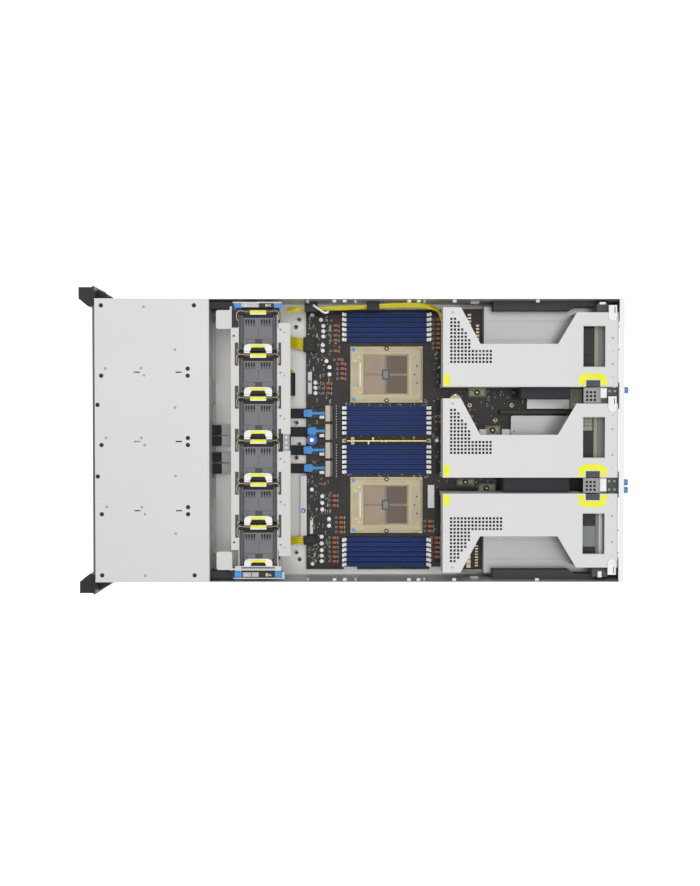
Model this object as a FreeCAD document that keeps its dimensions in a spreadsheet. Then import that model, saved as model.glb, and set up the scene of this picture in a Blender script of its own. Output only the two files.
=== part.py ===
import FreeCAD, Part
import math
import os
import re

import Sketcher

# A 2U rack server with its lid off: X runs from the front to the rear, Y to the left-hand rack ear
# as seen from the front, Z up from the underside. All sizes are millimetres.

doc = FreeCAD.newDocument("RackServer")
sheet = doc.addObject("Spreadsheet::Sheet", "Sizes")

# Driving sizes, one alias per cell. A name that ends in _at is a distance behind the front face.
COUNTS = {"drive trays": 8, "fans": 6, "fan blades": 7, "slots per bank": 6, "risers": 3}
SIZES = {
    # chassis
    "chassis_length": 828, "chassis_width": 444, "chassis_height": 88, "sheet_steel": 1.2,
    "rear_reach": 10, "rear_flange": 8,
    "lid_pin_radius": 2.5, "lid_pin_length": 5, "lid_pin_drop": 8,
    "lid_pin_front_at": 333, "lid_pin_middle_at": 408, "lid_pin_rear_at": 516,
    # rack ears
    "ear_overhang": 19.3, "ear_reach": 27.5, "ear_flange": 3, "ear_margin": 0.5,
    "ear_block_low": 14, "ear_block_high": 74, "ear_slant": 11, "ear_slant_start": 15,
    "ear_gusset_length": 17, "ear_gusset_width": 8.5, "ear_gusset_flare": 8, "ear_gusset_inset": 12,
    "ear_gusset_wall": 2, "rack_hole_radius": 3.5, "rack_hole_inset": 8.75, "rack_hole_pitch": 76.2,
    "button_radius": 4.6, "button_length": 5, "button_recess": 0.5, "button_travel": 1.5,
    "button_height": 60, "button_gap": 0.3,
    # drive bay
    "cover_length": 178.4, "cover_setback": 0.6, "cover_screw_head": 3.4,
    "cover_column_pitch": 108.3, "cover_column_offset": -1.3, "cover_pair": 11, "cover_lip_spread": 56,
    "cover_front_row": 11, "cover_rear_row": 146, "cover_edge_row": 156, "cover_lip_row": 5,
    "cover_slot_length": 9.4, "cover_slot_width": 2, "cover_slot_front": 66.6, "cover_slot_rear": 131.7,
    "grille_thickness": 3, "vent_pitch": 10, "vent_width": 6, "vent_height": 62,
    "vent_margin": 9, "bulkhead_at": 178, "bulkhead_window_top": 52, "bulkhead_middle_half": 60,
    "bulkhead_side_near": 26, "bulkhead_side_far": 32,
    "tray_pitch": 17.2, "tray_width": 15.4, "tray_length": 116, "tray_bottom": 9, "tray_top": 81,
    "tray_gap": 0.4, "tray_wall": 1.2, "tray_rib_height": 3, "tray_vent_first": 14, "tray_vent_pitch": 17,
    "tray_vent_height": 11, "tray_vent_margin": 3.5, "drive_thickness": 12, "drive_length": 96,
    "lever_width": 11, "lever_thickness": 3, "lever_stand": 4, "lever_pivot_height": 15,
    "lever_pin_radius": 1.2, "lever_length": 58, "lever_ear": 1.4, "lever_ear_gap": 0.4,
    "lever_ear_height": 6,
    "backplane_at": 122, "backplane_thickness": 2, "backplane_margin": 5, "backplane_air_width": 5,
    "backplane_air_low": 48, "backplane_air_high": 76,
    "bay_connector_width": 6, "bay_connector_height": 34, "bay_connector_depth": 4,
    "bay_socket_depth": 8, "bay_socket_low": 24, "bay_socket_high": 36, "bay_socket_margin": 2,
    # fans
    "fan_row_offset": 5.8, "fan_row_margin": 39.6, "fan_gap": 2, "fan_depth": 58.4, "fan_at": 226.2,
    "fan_bottom": 8.8, "fan_top": 79, "fan_wall": 3.7, "fan_axis_height": 40.5,
    "fan_hub_radius": 13, "fan_tip_gap": 1.4, "fan_strut": 3, "fan_stator_length": 10, "fan_stator_inset": 2,
    "fan_rotor_length": 26, "fan_shaft_radius": 1.5, "fan_shaft_length": 7, "fan_blade_root": 19,
    "fan_blade_tip": 12, "fan_blade_thickness": 1.4, "fan_grip_height": 5, "fan_grip_length": 43.5,
    "fan_grip_width": 12, "fan_grip_wall": 4.2, "fan_tab_length": 25, "fan_tab_width": 6.5,
    "fan_tab_height": 3, "fan_touch_inset": 6.4, "fan_waist_inset": 6, "fan_waist_depth": 16,
    "fan_waist_width": 3, "fan_cage_top": 84.2, "fan_cage_floor": 7, "fan_cage_gap": 0.6,
    "fan_front_flange": 12.6, "fan_rear_flange": 19, "fan_flange_short": 96, "fan_flange_offset": -3.5,
    "fan_side_rail": 7.4, "fan_rail_overhang": 7, "fan_pad_length": 10, "fan_pad_height": 1.4,
    # motherboard
    "board_at": 327.7, "board_thickness": 2.4, "board_height": 7.4, "board_side_gap": 10,
    "board_neck_at": 606, "board_neck_gap": 4, "board_rear_gap": 2,
    "board_notch_front": 400, "board_notch_rear": 540, "board_notch_length": 22, "board_notch_depth": 4,
    "standoff_radius": 3, "standoff_inset": 10,
    "slot_row_at": 458.7, "slot_length": 129.8, "slot_width": 6.2, "slot_height": 7.6,
    "slot_groove": 1.8, "slot_groove_depth": 4.6, "slot_groove_end": 3, "slot_key_shift": 3, "slot_key": 2,
    "slot_row_margin": 249.6, "slot_middle_gap": 11.35, "slot_socket_gap": 8.95, "slot_outer_gap": 10.75,
    "latch_length": 6.8, "latch_height": 19, "latch_width": 5, "latch_gap": 0.3, "latch_hook": 3,
    "card_height": 24, "card_thickness": 1.6, "card_length": 138, "card_seat": 2, "card_shift": 0.7,
    # processor sockets
    "socket_length": 117.8, "socket_width": 91, "socket_base_height": 4, "socket_floor": 1.6,
    "socket_frame_thickness": 2.4, "socket_frame_gap": 0.4, "socket_window_length": 72.6,
    "socket_window_width": 64.4, "socket_window_shift": 1.2, "socket_pin_radius": 1.5,
    "socket_barrel_radius": 1.8, "socket_ear": 4, "socket_pin_inset": 4, "contact_gap": 4,
    "contact_height": 3, "running_fit": 0.06,
    # board parts
    "capacitor_radius": 3.5, "capacitor_height": 9, "coil_length": 7.8, "coil_width": 5.8,
    "coil_height": 6, "cable_socket_at": 359.4, "cable_socket_length": 11.4, "cable_socket_width": 26,
    "cable_socket_height": 8, "cable_socket_pitch": 30, "cable_socket_offset": -2.1, "cable_mouth_depth": 3,
    "knob_at": 337.6, "knob_radius": 9.1, "knob_height": 10.6, "knob_cap_height": 4,
    "battery_at": 571, "battery_y": 65, "battery_radius": 10, "battery_height": 5,
    "riser_socket_start": 30, "riser_socket_end": 150, "riser_socket_height": 7, "riser_socket_margin": 3,
    # risers
    "riser_at": 544.8, "riser_end_gap": 9.2, "riser_top": 85.2, "riser_row_margin": 72,
    "riser_side_gap": 13.6, "riser_middle_gap": 18.3, "riser_right_gap": 25.2,
    "riser_waist_cut": 57, "riser_rear_cut": 8, "riser_lobe_end": 28, "riser_waist_start": 58.4,
    "riser_waist_inset": 94, "riser_rear_depth": 65, "riser_wall_low": 46, "riser_base_wall_low": 18,
    "perforation_pitch": 5.6, "perforation_hole": 3.6, "perforation_first": 13,
    "perforation_margin": 14, "perforation_rows": 13, "perforation_wide_rows": 4,
    "perforation_wide_columns": 12, "perforation_base": 38.8,
    "riser_window_inset": 54.7, "riser_window_length": 34.4, "riser_window_low": 30.5,
    "riser_window_edge": 20.7, "riser_notch_inset": 50, "riser_notch_length": 22,
    "riser_notch_depth": 10.2, "riser_board_thickness": 1.8, "riser_board_inset": 4,
    "riser_board_gap": 0.4, "riser_slot_at": 60, "riser_slot_depth": 11, "riser_slot_width": 8,
    "riser_slot_length": 90, "riser_slot_low": 34, "riser_slot_high": 58,
    "riser_air_first": 12, "riser_air_pitch": 20, "riser_air_width": 12, "riser_air_low": 56,
    "riser_air_high": 72, "card_window_margin": 8, "card_window_low": 4,
    "slot_lever_pivot_inset": 7.6, "slot_lever_pivot_edge": 7.2, "slot_lever_width": 9,
    "slot_lever_length": 18, "slot_lever_thickness": 2.2, "slot_lever_pin_radius": 2,
    "slot_lever_gap": 0.1, "slot_lever_slit": 1.6, "slot_lever_slit_start": 6, "slot_lever_slit_end": 3,
    # rear panel and power supplies
    "shelf_at": 766, "shelf_height": 78, "shelf_hole": 3.6, "shelf_hole_pitch": 6, "shelf_hole_first": 4,
    "shelf_gap": 1, "port_window_top": 38, "port_window_margin": 10,
    "thumbscrew_radius": 5, "thumbscrew_drop": 14, "thumbscrew_inset": 5, "thumbscrew_short": 1,
    "supply_at": 614, "supply_width": 73.5, "supply_height": 40, "supply_side_gap": 8.5,
    "supply_gap": 0.4, "supply_handle_width": 40, "supply_handle_bar": 3, "supply_handle_inset": 4,
    "supply_handle_height": 32, "supply_air_first": 5, "supply_air_pitch": 6, "supply_air_width": 3,
    "supply_air_height": 25, "supply_air_depth": 6, "inlet_near": 6, "inlet_far": 23, "inlet_low": 5,
    "inlet_height": 14, "inlet_depth": 8, "supply_latch_width": 9, "supply_latch_height": 12,
    "supply_latch_reach": 8, "supply_latch_low": 24, "supply_latch_gap": 6, "supply_latch_pad": 3,
    "supply_latch_stem": 4,
    # baffles and cables
    "baffle_at": 626, "baffle_length": 122, "baffle_tail": 40, "baffle_width": 15, "baffle_tail_width": 9,
    "baffle_height": 22, "baffle_chamfer": 8, "gap_block_left_at": 671, "gap_block_right_at": 644,
    "gap_block_end": 748, "gap_block_height": 60, "gap_block_gap": 0.6,
    "ribbon_width": 16, "ribbon_thickness": 2.4, "ribbon_bend": 8, "ribbon_lift": 30,
    "power_lead_wide": 22, "power_lead_narrow": 12, "power_lead_left": 155, "power_lead_right": -164,
    "power_plug_length": 20, "power_plug_height": 10, "wall_loom_radius": 3.2, "wall_loom_inset": 9,
    "wall_loom_height": 52, "wall_loom_at": 296, "wall_loom_end": 536, "loom_clip_length": 20,
    "loom_clip_width": 11, "loom_clip_front_at": 328, "loom_clip_rear_at": 426.5,
}

# Sizes that follow from the ones above
TIED = {
    "ear_half_span": "chassis_width / 2 + ear_overhang",
    "rack_hole_offset": "ear_half_span - rack_hole_inset",
    "fan_pitch": "(chassis_width - fan_row_margin) / %d" % COUNTS["fans"],
    "fan_width": "fan_pitch - fan_gap",
    "fan_bore_radius": "fan_width / 2 - fan_wall",
    "fan_touch_offset": "fan_width / 2 - fan_touch_inset",
    "fan_flange_length": "chassis_width - fan_flange_short",
    "supply_outer": "chassis_width / 2 - supply_side_gap",
    "board_half_width": "chassis_width / 2 - board_side_gap",
    "board_neck_half_width": "supply_outer - supply_width - board_neck_gap",
    "slot_pitch": "(chassis_width - slot_row_margin) / %d" % (4 * COUNTS["slots per bank"]),
    "slot_bank_half": "%s * slot_pitch" % ((COUNTS["slots per bank"] - 1) / 2),
    "slot_bank_inner": "slot_bank_half + slot_middle_gap",
    "socket_offset": "slot_bank_inner + slot_bank_half + slot_socket_gap + socket_width / 2",
    "slot_bank_outer": "socket_offset + socket_width / 2 + slot_outer_gap + slot_bank_half",
    "riser_length": "chassis_length - riser_at - riser_end_gap",
    "riser_lobe_width": "(chassis_width - riser_row_margin) / %d" % COUNTS["risers"],
    "riser_waist_width": "riser_lobe_width - riser_waist_cut",
    "riser_rear_width": "riser_lobe_width - riser_rear_cut",
    "riser_left_base": "chassis_width / 2 - riser_side_gap - riser_lobe_width",
    "riser_middle_base": "riser_left_base - riser_middle_gap - riser_lobe_width",
    "riser_right_base": "riser_middle_base - riser_right_gap",
    "riser_waist_end": "riser_length - riser_waist_inset",
    "riser_rear_start": "riser_length - riser_rear_depth",
    "riser_window_start": "riser_length - riser_window_inset",
    "riser_window_width": "riser_rear_width - riser_window_edge - riser_window_low",
    "riser_notch_start": "riser_length - riser_notch_inset",
}

CELLS = list(SIZES.items()) + [(alias, "=" + formula) for alias, formula in TIED.items()]
for row, (alias, value) in enumerate(CELLS, start=1):
    sheet.set("A%d" % row, alias)
    sheet.set("B%d" % row, str(value))
    sheet.setAlias("B%d" % row, alias)
doc.recompute()


def linked(formula):
    """Formula whose size names point at their cells in the sheet."""
    def cell(word):
        name = word.group()
        return "Sizes." + name if name in SIZES or name in TIED else name
    return re.sub(r"[a-z][a-z0-9_]*", cell, str(formula))


def size(alias):
    """Value of a size, read from the sheet."""
    return float(sheet.get(alias))


# Formulas that most pieces share
FRONT = "((ear_reach - rear_reach - chassis_length) / 2)"
REAR = "(%s + chassis_length)" % FRONT
HALF = "(chassis_width / 2)"
WALL_TOP = "(chassis_height - sheet_steel)"
BOARD_TOP = "(board_height + board_thickness)"
SUBPARTS = []
TURNS = {
    "x": FreeCAD.Rotation(FreeCAD.Vector(0, 1, 0), 90),
    "y": FreeCAD.Rotation(FreeCAD.Vector(1, 0, 0), -90),
    "z": FreeCAD.Rotation(),
}


def at(distance):
    """X of a place given by its distance behind the front face."""
    return "(%s + %s)" % (FRONT, distance)


def span(centre, width):
    """Low and high formula of a stretch about its centre."""
    return "(%s) - (%s) / 2" % (centre, width), "(%s) + (%s) / 2" % (centre, width)


def run(start, length):
    """Low and high formula of a stretch from its start."""
    return "(%s)" % start, "(%s) + (%s)" % (start, length)


def sided(side, near, far):
    """Low and high Y of a stretch between two distances from the middle, on one side."""
    if side > 0:
        return "(%s)" % near, "(%s)" % far
    return "-(%s)" % far, "-(%s)" % near


def place(item, x=0, y=0, z=0):
    """Ties the origin of an object to three formulas."""
    for axis, formula in zip("xyz", (x, y, z)):
        item.setExpression("Placement.Base." + axis, linked(formula))
    return item


def box(name, x, y, z):
    """Box between a low and a high formula on each axis."""
    item = doc.addObject("Part::Box", name)
    for side, (low, high) in zip(("Length", "Width", "Height"), (x, y, z)):
        item.setExpression(side, linked("(%s) - (%s)" % (high, low)))
    return place(item, x[0], y[0], z[0])


def rod(name, axis, centre, radius, low, high):
    """Cylinder along an axis from low to high; centre is its place on the other two axes."""
    item = doc.addObject("Part::Cylinder", name)
    item.Placement = FreeCAD.Placement(FreeCAD.Vector(), TURNS[axis])
    item.setExpression("Radius", linked(radius))
    item.setExpression("Height", linked("(%s) - (%s)" % (high, low)))
    spot = list(centre)
    spot.insert("xyz".index(axis), low)
    return place(item, *spot)


def cone(name, centre, low, high, radius_low, radius_high):
    """Upright cone, as a countersink or the head that fills it."""
    item = doc.addObject("Part::Cone", name)
    item.setExpression("Radius1", linked(radius_low))
    item.setExpression("Radius2", linked(radius_high))
    item.setExpression("Height", linked("(%s) - (%s)" % (high, low)))
    return place(item, centre[0], centre[1], low)


def fuse(name, pieces):
    """One solid out of pieces that touch or overlap."""
    item = doc.addObject("Part::MultiFuse", name)
    item.Shapes = pieces
    return item


def group(name, pieces):
    """Separate solids that are handled together."""
    item = doc.addObject("Part::Compound", name)
    item.Links = pieces
    return item


def cut(name, base, tools):
    """Base without its tools."""
    item = doc.addObject("Part::Cut", name)
    item.Base = base
    item.Tool = tools[0] if len(tools) == 1 else group(name + "_tools", tools)
    return item


def profile(name, plane, corners, thickness, x=0, y=0, z=0):
    """Body padded from a closed outline whose corners are tied to the sheet.

    On XY_Plane the pad goes up, on XZ_Plane towards -Y and on YZ_Plane towards +X.
    """
    body = doc.addObject("PartDesign::Body", name)
    sketch = body.newObject("Sketcher::SketchObject", name + "_outline")
    origin_plane = [item for item in body.Origin.OriginFeatures if item.Role == plane][0]
    sketch.AttachmentSupport = (origin_plane, [""])
    sketch.MapMode = "FlatFace"
    count = len(corners)
    ring = [FreeCAD.Vector(math.cos(2 * math.pi * k / count), math.sin(2 * math.pi * k / count), 0)
            for k in range(count)]
    for k in range(count):
        sketch.addGeometry(Part.LineSegment(ring[k], ring[(k + 1) % count]), False)
    for k in range(count):
        sketch.addConstraint(Sketcher.Constraint("Coincident", k, 2, (k + 1) % count, 1))
    for k, corner in enumerate(corners):
        for kind, formula, start in zip(("DistanceX", "DistanceY"), corner, (ring[k].x, ring[k].y)):
            number = sketch.addConstraint(Sketcher.Constraint(kind, -1, 1, k, 1, start))
            sketch.setExpression("Constraints[%d]" % number, linked(formula))
    pad = body.newObject("PartDesign::Pad", name + "_pad")
    pad.Profile = sketch
    pad.setExpression("Length", linked(thickness))
    return place(body, x, y, z)


def node(label, pieces):
    """Sub-part of that name: one solid, or a group of separate solids."""
    item = pieces[0] if len(pieces) == 1 else group(label + "_group", pieces)
    item.Label = label
    SUBPARTS.append(item)
    return item


# Chassis: one folded tray, a rear panel with its top flange, and the cover over the drive bay
def chassis_tray():
    outline = [
        ("-" + HALF, "0"), (HALF, "0"), (HALF, WALL_TOP), (HALF + " - sheet_steel", WALL_TOP),
        (HALF + " - sheet_steel", "sheet_steel"), ("sheet_steel - " + HALF, "sheet_steel"),
        ("sheet_steel - " + HALF, WALL_TOP), ("-" + HALF, WALL_TOP),
    ]
    tray = profile("tray_sheet", "YZ_Plane", outline, "chassis_length - sheet_steel", x=FRONT)
    pieces = [tray]
    inner = HALF + " - sheet_steel"
    for number, (distance, y) in enumerate(STANDOFFS):
        pieces.append(rod("standoff%d" % number, "z", (at(distance), y), "standoff_radius",
                          "sheet_steel / 2", "board_height"))
    for side in (1, -1):
        for number, distance in enumerate(LID_PINS):
            low, high = sided(side, inner + " - lid_pin_length", inner + " + sheet_steel / 2")
            pieces.append(rod("lid_pin%d%s" % (number, "lr"[side < 0]), "y",
                              (at(distance), WALL_TOP + " - lid_pin_drop"), "lid_pin_radius", low, high))
    node("chassis_tray", [fuse("tray_fused", pieces)])


STANDOFFS = [(distance, sign + reach) for distance, reach in (
    ("board_at + standoff_inset", "(board_half_width - standoff_inset)"),
    ("slot_row_at", "(slot_bank_outer - 4 * slot_pitch)"),
    ("board_neck_at - standoff_inset", "(board_half_width - standoff_inset)"),
    ("chassis_length - 2 * standoff_inset", "(board_neck_half_width - standoff_inset)"),
) for sign in ("", "-")]
LID_PINS = ("lid_pin_front_at", "lid_pin_middle_at", "lid_pin_rear_at")


def riser_bases():
    """Each riser with the Y of its straight side and the way it opens: 1 to the left, -1 to the right."""
    return (("left", "riser_left_base", 1), ("middle", "riser_middle_base", 1),
            ("right", "riser_right_base", -1))


def across(base, side, distance):
    """Y at a distance from the straight side of a riser."""
    return "(%s %s (%s))" % (base, "+" if side > 0 else "-", distance)


def strip(base, side, near, far):
    """Low and high Y between two distances from the straight side of a riser."""
    ends = across(base, side, near), across(base, side, far)
    return ends if side > 0 else ends[::-1]


def rear_panel():
    """Panel with its top flange, the openings in it, the perforated shelves and the captive screws."""
    corners = [
        ("-sheet_steel", "0"), ("0", "0"), ("0", "chassis_height"), ("-rear_flange", "chassis_height"),
        ("-rear_flange", WALL_TOP), ("-sheet_steel", WALL_TOP),
    ]
    sheet_body = profile("rear_sheet", "XZ_Plane", corners, "chassis_width", x=REAR, y=HALF)
    through = (REAR + " - 2 * sheet_steel", REAR + " + sheet_steel")
    windows = []
    for side in (1, -1):
        y = sided(side, "supply_outer - supply_width - supply_gap", "supply_outer + supply_gap")
        windows.append(box("supply_window%d" % side, through, y,
                           ("sheet_steel", "sheet_steel + supply_height + 2 * supply_gap")))
    for name, base, side in riser_bases():
        y = strip(base, side, "card_window_margin", "riser_rear_width - card_window_margin")
        windows.append(box("card_window_" + name, through, y,
                           ("riser_wall_low + card_window_low", WALL_TOP + " - card_window_margin")))
    port_half = "(board_neck_half_width - port_window_margin)"
    windows.append(box("port_window", through, ("-" + port_half, port_half),
                       (BOARD_TOP + " + 1", "port_window_top")))
    panel = cut("rear_cut", sheet_body, windows)
    gaps = (("riser_middle_base + riser_rear_width", "riser_left_base"),
            ("riser_right_base", "riser_middle_base"))
    shelves = [perforated_shelf(number, low, high) for number, (low, high) in enumerate(gaps)]
    middles = ("riser_left_base - thumbscrew_inset", "riser_middle_base - thumbscrew_inset - 3",
               "riser_right_base + thumbscrew_inset")
    screws = [rod("thumbscrew%d" % number, "x", (y, WALL_TOP + " - thumbscrew_drop"), "thumbscrew_radius",
                  REAR, REAR + " + rear_reach - thumbscrew_short") for number, y in enumerate(middles)]
    node("rear_panel", [fuse("rear_fused", [panel] + shelves)] + screws)


def perforated_shelf(number, low, high):
    """Shelf between two risers, from the rear panel forwards, with three rows of square holes."""
    shelf = box("shelf%d" % number, (at("shelf_at"), REAR + " - sheet_steel / 2"),
                (low + " + shelf_gap", high + " - shelf_gap"), run("shelf_height", "sheet_steel"))
    holes = []
    for i in range(3):
        for j in range(3):
            holes.append(box("shelf_hole%d_%d_%d" % (number, i, j),
                             run(at("shelf_at + shelf_hole_first + %d * shelf_hole_pitch" % i), "shelf_hole"),
                             run("%s + shelf_hole_first + %d * shelf_hole_pitch" % (low, j), "shelf_hole"),
                             ("shelf_height - 1", "shelf_height + sheet_steel + 1")))
    return cut("shelf_cut%d" % number, shelf, holes)


def cover_screws():
    """Distance from the front face and Y of each screw in the cover."""
    spots = [("cover_lip_row", "cover_lip_spread"), ("cover_lip_row", "-cover_lip_spread")]
    for side in (1, -1):
        spots.append(("cover_front_row", "%d * (%s - cover_pair)" % (side, HALF)))
        spots.append(("cover_edge_row", "%d * (%s - cover_pair)" % (side, HALF)))
    for column in (1, 0, -1):
        middle = "cover_column_offset + %d * cover_column_pitch" % column
        spots.append(("cover_front_row", "%s - cover_pair / 2" % middle))
        spots.append(("cover_rear_row", "%s - cover_pair / 2" % middle))
        spots.append(("cover_rear_row", "%s + cover_pair / 2" % middle))
    return spots


def drive_bay_cover():
    """Cover plate with its slots, and a countersunk screw in each sink."""
    plate = box("cover_plate", run(at("cover_setback"), "cover_length"), ("-" + HALF, HALF),
                (WALL_TOP, "chassis_height"))
    tools = []
    screws = []
    for number, (distance, y) in enumerate(cover_screws()):
        for name, store in (("cover_sink", tools), ("cover_screw", screws)):
            store.append(cone(name + str(number), (at(distance), y), WALL_TOP, "chassis_height",
                              "cover_screw_head - sheet_steel", "cover_screw_head"))
    for number, distance in enumerate(("cover_slot_front", "cover_slot_rear")):
        for column in (1, 0, -1):
            y = span("cover_column_offset + %d * cover_column_pitch" % column, "cover_slot_width")
            tools.append(box("cover_slot%d_%d" % (number, column), span(at(distance), "cover_slot_length"), y,
                             (WALL_TOP + " - 1", "chassis_height + 1")))
    node("drive_bay_cover", [cut("cover_cut", plate, tools)] + screws)


# Front: ears with the power button, the vented front panel, and the bay with its trays
def rack_ear(label, side):
    """Ear with its rack flange, the slanted control block and the gusset that ties it to the side wall."""
    flange = box(label + "_flange", (at("-ear_flange"), FRONT),
                 sided(side, HALF + " - sheet_steel", "ear_half_span"),
                 ("ear_margin", "chassis_height - ear_margin"))
    block_corners = [
        ("-ear_reach", "ear_half_span"), ("-ear_reach", HALF + " + 1"),
        ("ear_slant_start - ear_reach", HALF + " - ear_slant"), ("-ear_flange", HALF + " - ear_slant"),
        ("-ear_flange", "ear_half_span"),
    ]
    gusset_corners = [
        ("0", HALF), ("0", HALF + " + ear_gusset_width + ear_gusset_flare"),
        ("ear_gusset_length", HALF + " + ear_gusset_width"), ("ear_gusset_length", HALF),
    ]
    if side < 0:
        block_corners = [(x, "-(%s)" % y) for x, y in reversed(block_corners)]
        gusset_corners = [(x, "-(%s)" % y) for x, y in reversed(gusset_corners)]
    block = profile(label + "_block", "XY_Plane", block_corners, "ear_block_high - ear_block_low",
                    x=FRONT, z="ear_block_low")
    gusset = profile(label + "_gusset", "XY_Plane", gusset_corners,
                     "ear_block_high - ear_block_low - 2 * ear_gusset_inset",
                     x=FRONT, z="ear_block_low + ear_gusset_inset")
    hollow = box(label + "_gusset_hollow", (at("ear_gusset_wall + 1"), at("ear_gusset_length + 1")),
                 sided(side, HALF + " + ear_gusset_wall", HALF + " + ear_gusset_width - ear_gusset_wall"),
                 ("ear_block_low + ear_gusset_inset + ear_gusset_wall",
                  "ear_block_high - ear_gusset_inset - ear_gusset_wall"))
    tools = [hollow]
    for name, level in (("low", "-"), ("high", "+")):
        tools.append(rod(label + "_hole_" + name, "x",
                         ("%d * rack_hole_offset" % side,
                          "chassis_height / 2 %s rack_hole_pitch / 2" % level),
                         "rack_hole_radius", at("-ear_reach - 1"), at("1")))
    if side < 0:
        tools.append(rod("button_well", "x", ("-rack_hole_offset", "button_height"),
                         "button_radius + button_gap", at("-ear_reach - 1"),
                         at("-ear_reach + button_recess + button_length + button_travel + button_gap")))
    body = fuse(label + "_fused", [flange, block, gusset])
    node(label, [cut(label + "_cut", body, tools)])


def power_button():
    """Round button in its well in the right-hand ear."""
    face = "-ear_reach + button_recess"
    node("power_button", [rod("button_cap", "x", ("-rack_hole_offset", "button_height"), "button_radius",
                              at(face), at(face + " + button_length"))])


BAY_HALF = "(%d * tray_pitch / 2)" % COUNTS["drive trays"]


def front_grille():
    """Front panel with the tray opening and a row of upright vents on either side of it."""
    edge = HALF + " - ear_slant - ear_margin"
    plate = box("grille_plate", (at("-grille_thickness"), FRONT), ("-(%s)" % edge, edge), ("0", WALL_TOP))
    tools = [box("tray_opening", (at("-grille_thickness - 1"), at("1")), ("-%s" % BAY_HALF, BAY_HALF),
                 ("tray_bottom - 1", "tray_top + 1"))]
    room = size("chassis_width") / 2 - size("ear_slant") - COUNTS["drive trays"] * size("tray_pitch") / 2
    vents = int((room - 2 * size("vent_margin")) // size("vent_pitch"))
    for side in (1, -1):
        for number in range(vents):
            near = "%s + vent_margin + %d * vent_pitch" % (BAY_HALF, number)
            tools.append(box("vent%d_%d" % (number, side), (at("-grille_thickness - 1"), at("1")),
                             sided(side, near, near + " + vent_width"),
                             span("chassis_height / 2", "vent_height")))
    node("front_grille", [cut("grille_cut", plate, tools)])


def drive_cage():
    """Bay walls, floor and roof with the guide ribs, and the bulkhead behind with its cable windows."""
    depth = (at("0.3"), at("bulkhead_at"))
    pieces = []
    for side in (1, -1):
        pieces.append(box("bay_wall%d" % side, depth, sided(side, BAY_HALF, BAY_HALF + " + sheet_steel"),
                          ("sheet_steel", WALL_TOP)))
    floor_level = "tray_bottom - tray_gap"
    roof_level = "tray_top + tray_gap"
    rib_run = (at("0.3"), at("tray_length"))
    inside = ("-%s" % BAY_HALF, BAY_HALF)
    pieces.append(box("bay_floor", rib_run, inside, (floor_level + " - sheet_steel", floor_level)))
    pieces.append(box("bay_roof", rib_run, inside, (roof_level, roof_level + " + sheet_steel")))
    for number in range(1, COUNTS["drive trays"]):
        y = span("%d * tray_pitch - %s" % (number, BAY_HALF), "tray_pitch - tray_width - 2 * tray_gap")
        pieces.append(box("floor_rib%d" % number, rib_run, y,
                          (floor_level, floor_level + " + tray_rib_height")))
        pieces.append(box("roof_rib%d" % number, rib_run, y, (roof_level + " - tray_rib_height", roof_level)))
    bulkhead = box("bulkhead", run(at("bulkhead_at"), "sheet_steel"),
                   ("sheet_steel - " + HALF, HALF + " - sheet_steel"), ("sheet_steel", WALL_TOP))
    windows = []
    side_window = (BAY_HALF + " + bulkhead_side_near", HALF + " - bulkhead_side_far")
    stretches = (("-bulkhead_middle_half", "bulkhead_middle_half"), sided(1, *side_window),
                 sided(-1, *side_window))
    for number, y in enumerate(stretches):
        windows.append(box("bulkhead_window%d" % number,
                           (at("bulkhead_at - 1"), at("bulkhead_at + sheet_steel + 1")),
                           y, ("2 * sheet_steel", "bulkhead_window_top")))
    pieces.append(cut("bulkhead_cut", bulkhead, windows))
    node("drive_cage", [fuse("cage_fused", pieces)])


def tray_middle(number):
    """Y of a drive tray; the first is the rightmost."""
    return "(%.1f * tray_pitch)" % (number - (COUNTS["drive trays"] - 1) / 2)


LEVER_PIVOT_X = at("-lever_stand + lever_thickness / 2")


def drive_tray(number):
    """Carrier with side rails, a vented front and the drive that it holds."""
    label = "drive_tray_%d" % (number + 1)
    middle = tray_middle(number)
    y = span(middle, "tray_width")
    front = box(label + "_front", (FRONT, at("tray_wall * 2")), y, ("tray_bottom", "tray_top"))
    rails = [
        box(label + "_low", (at("tray_wall"), at("tray_length")), y,
            ("tray_bottom", "tray_bottom + tray_wall")),
        box(label + "_high", (at("tray_wall"), at("tray_length")), y, ("tray_top - tray_wall", "tray_top")),
    ]
    ears = []
    for side in (1, -1):
        ear = "%s + %d * (lever_width / 2 + lever_ear_gap + lever_ear / 2)" % (middle, side)
        ears.append(box("%s_ear%d" % (label, side), (at("-lever_stand"), at("1")), span(ear, "lever_ear"),
                        span("lever_pivot_height", "lever_ear_height")))
    pin_bore = rod(label + "_bore", "y", (LEVER_PIVOT_X, "lever_pivot_height"),
                   "lever_pin_radius + running_fit", y[0], y[1])
    vents = [box("%s_vent%d" % (label, k), (at("-1"), at("tray_wall * 2 + 1")),
                 span(middle, "tray_width - 2 * tray_vent_margin"),
                 run("tray_bottom + tray_vent_first + %d * tray_vent_pitch" % k, "tray_vent_height"))
             for k in range(3)]
    carrier = cut(label + "_cut", fuse(label + "_carrier", [front] + rails + ears), [pin_bore] + vents)
    drive = box(label + "_drive", run(at("tray_length - drive_length"), "drive_length"),
                span(middle, "drive_thickness"), ("tray_bottom + tray_wall", "tray_top - tray_wall"))
    node(label, [fuse(label + "_fused", [carrier, drive])])


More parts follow.
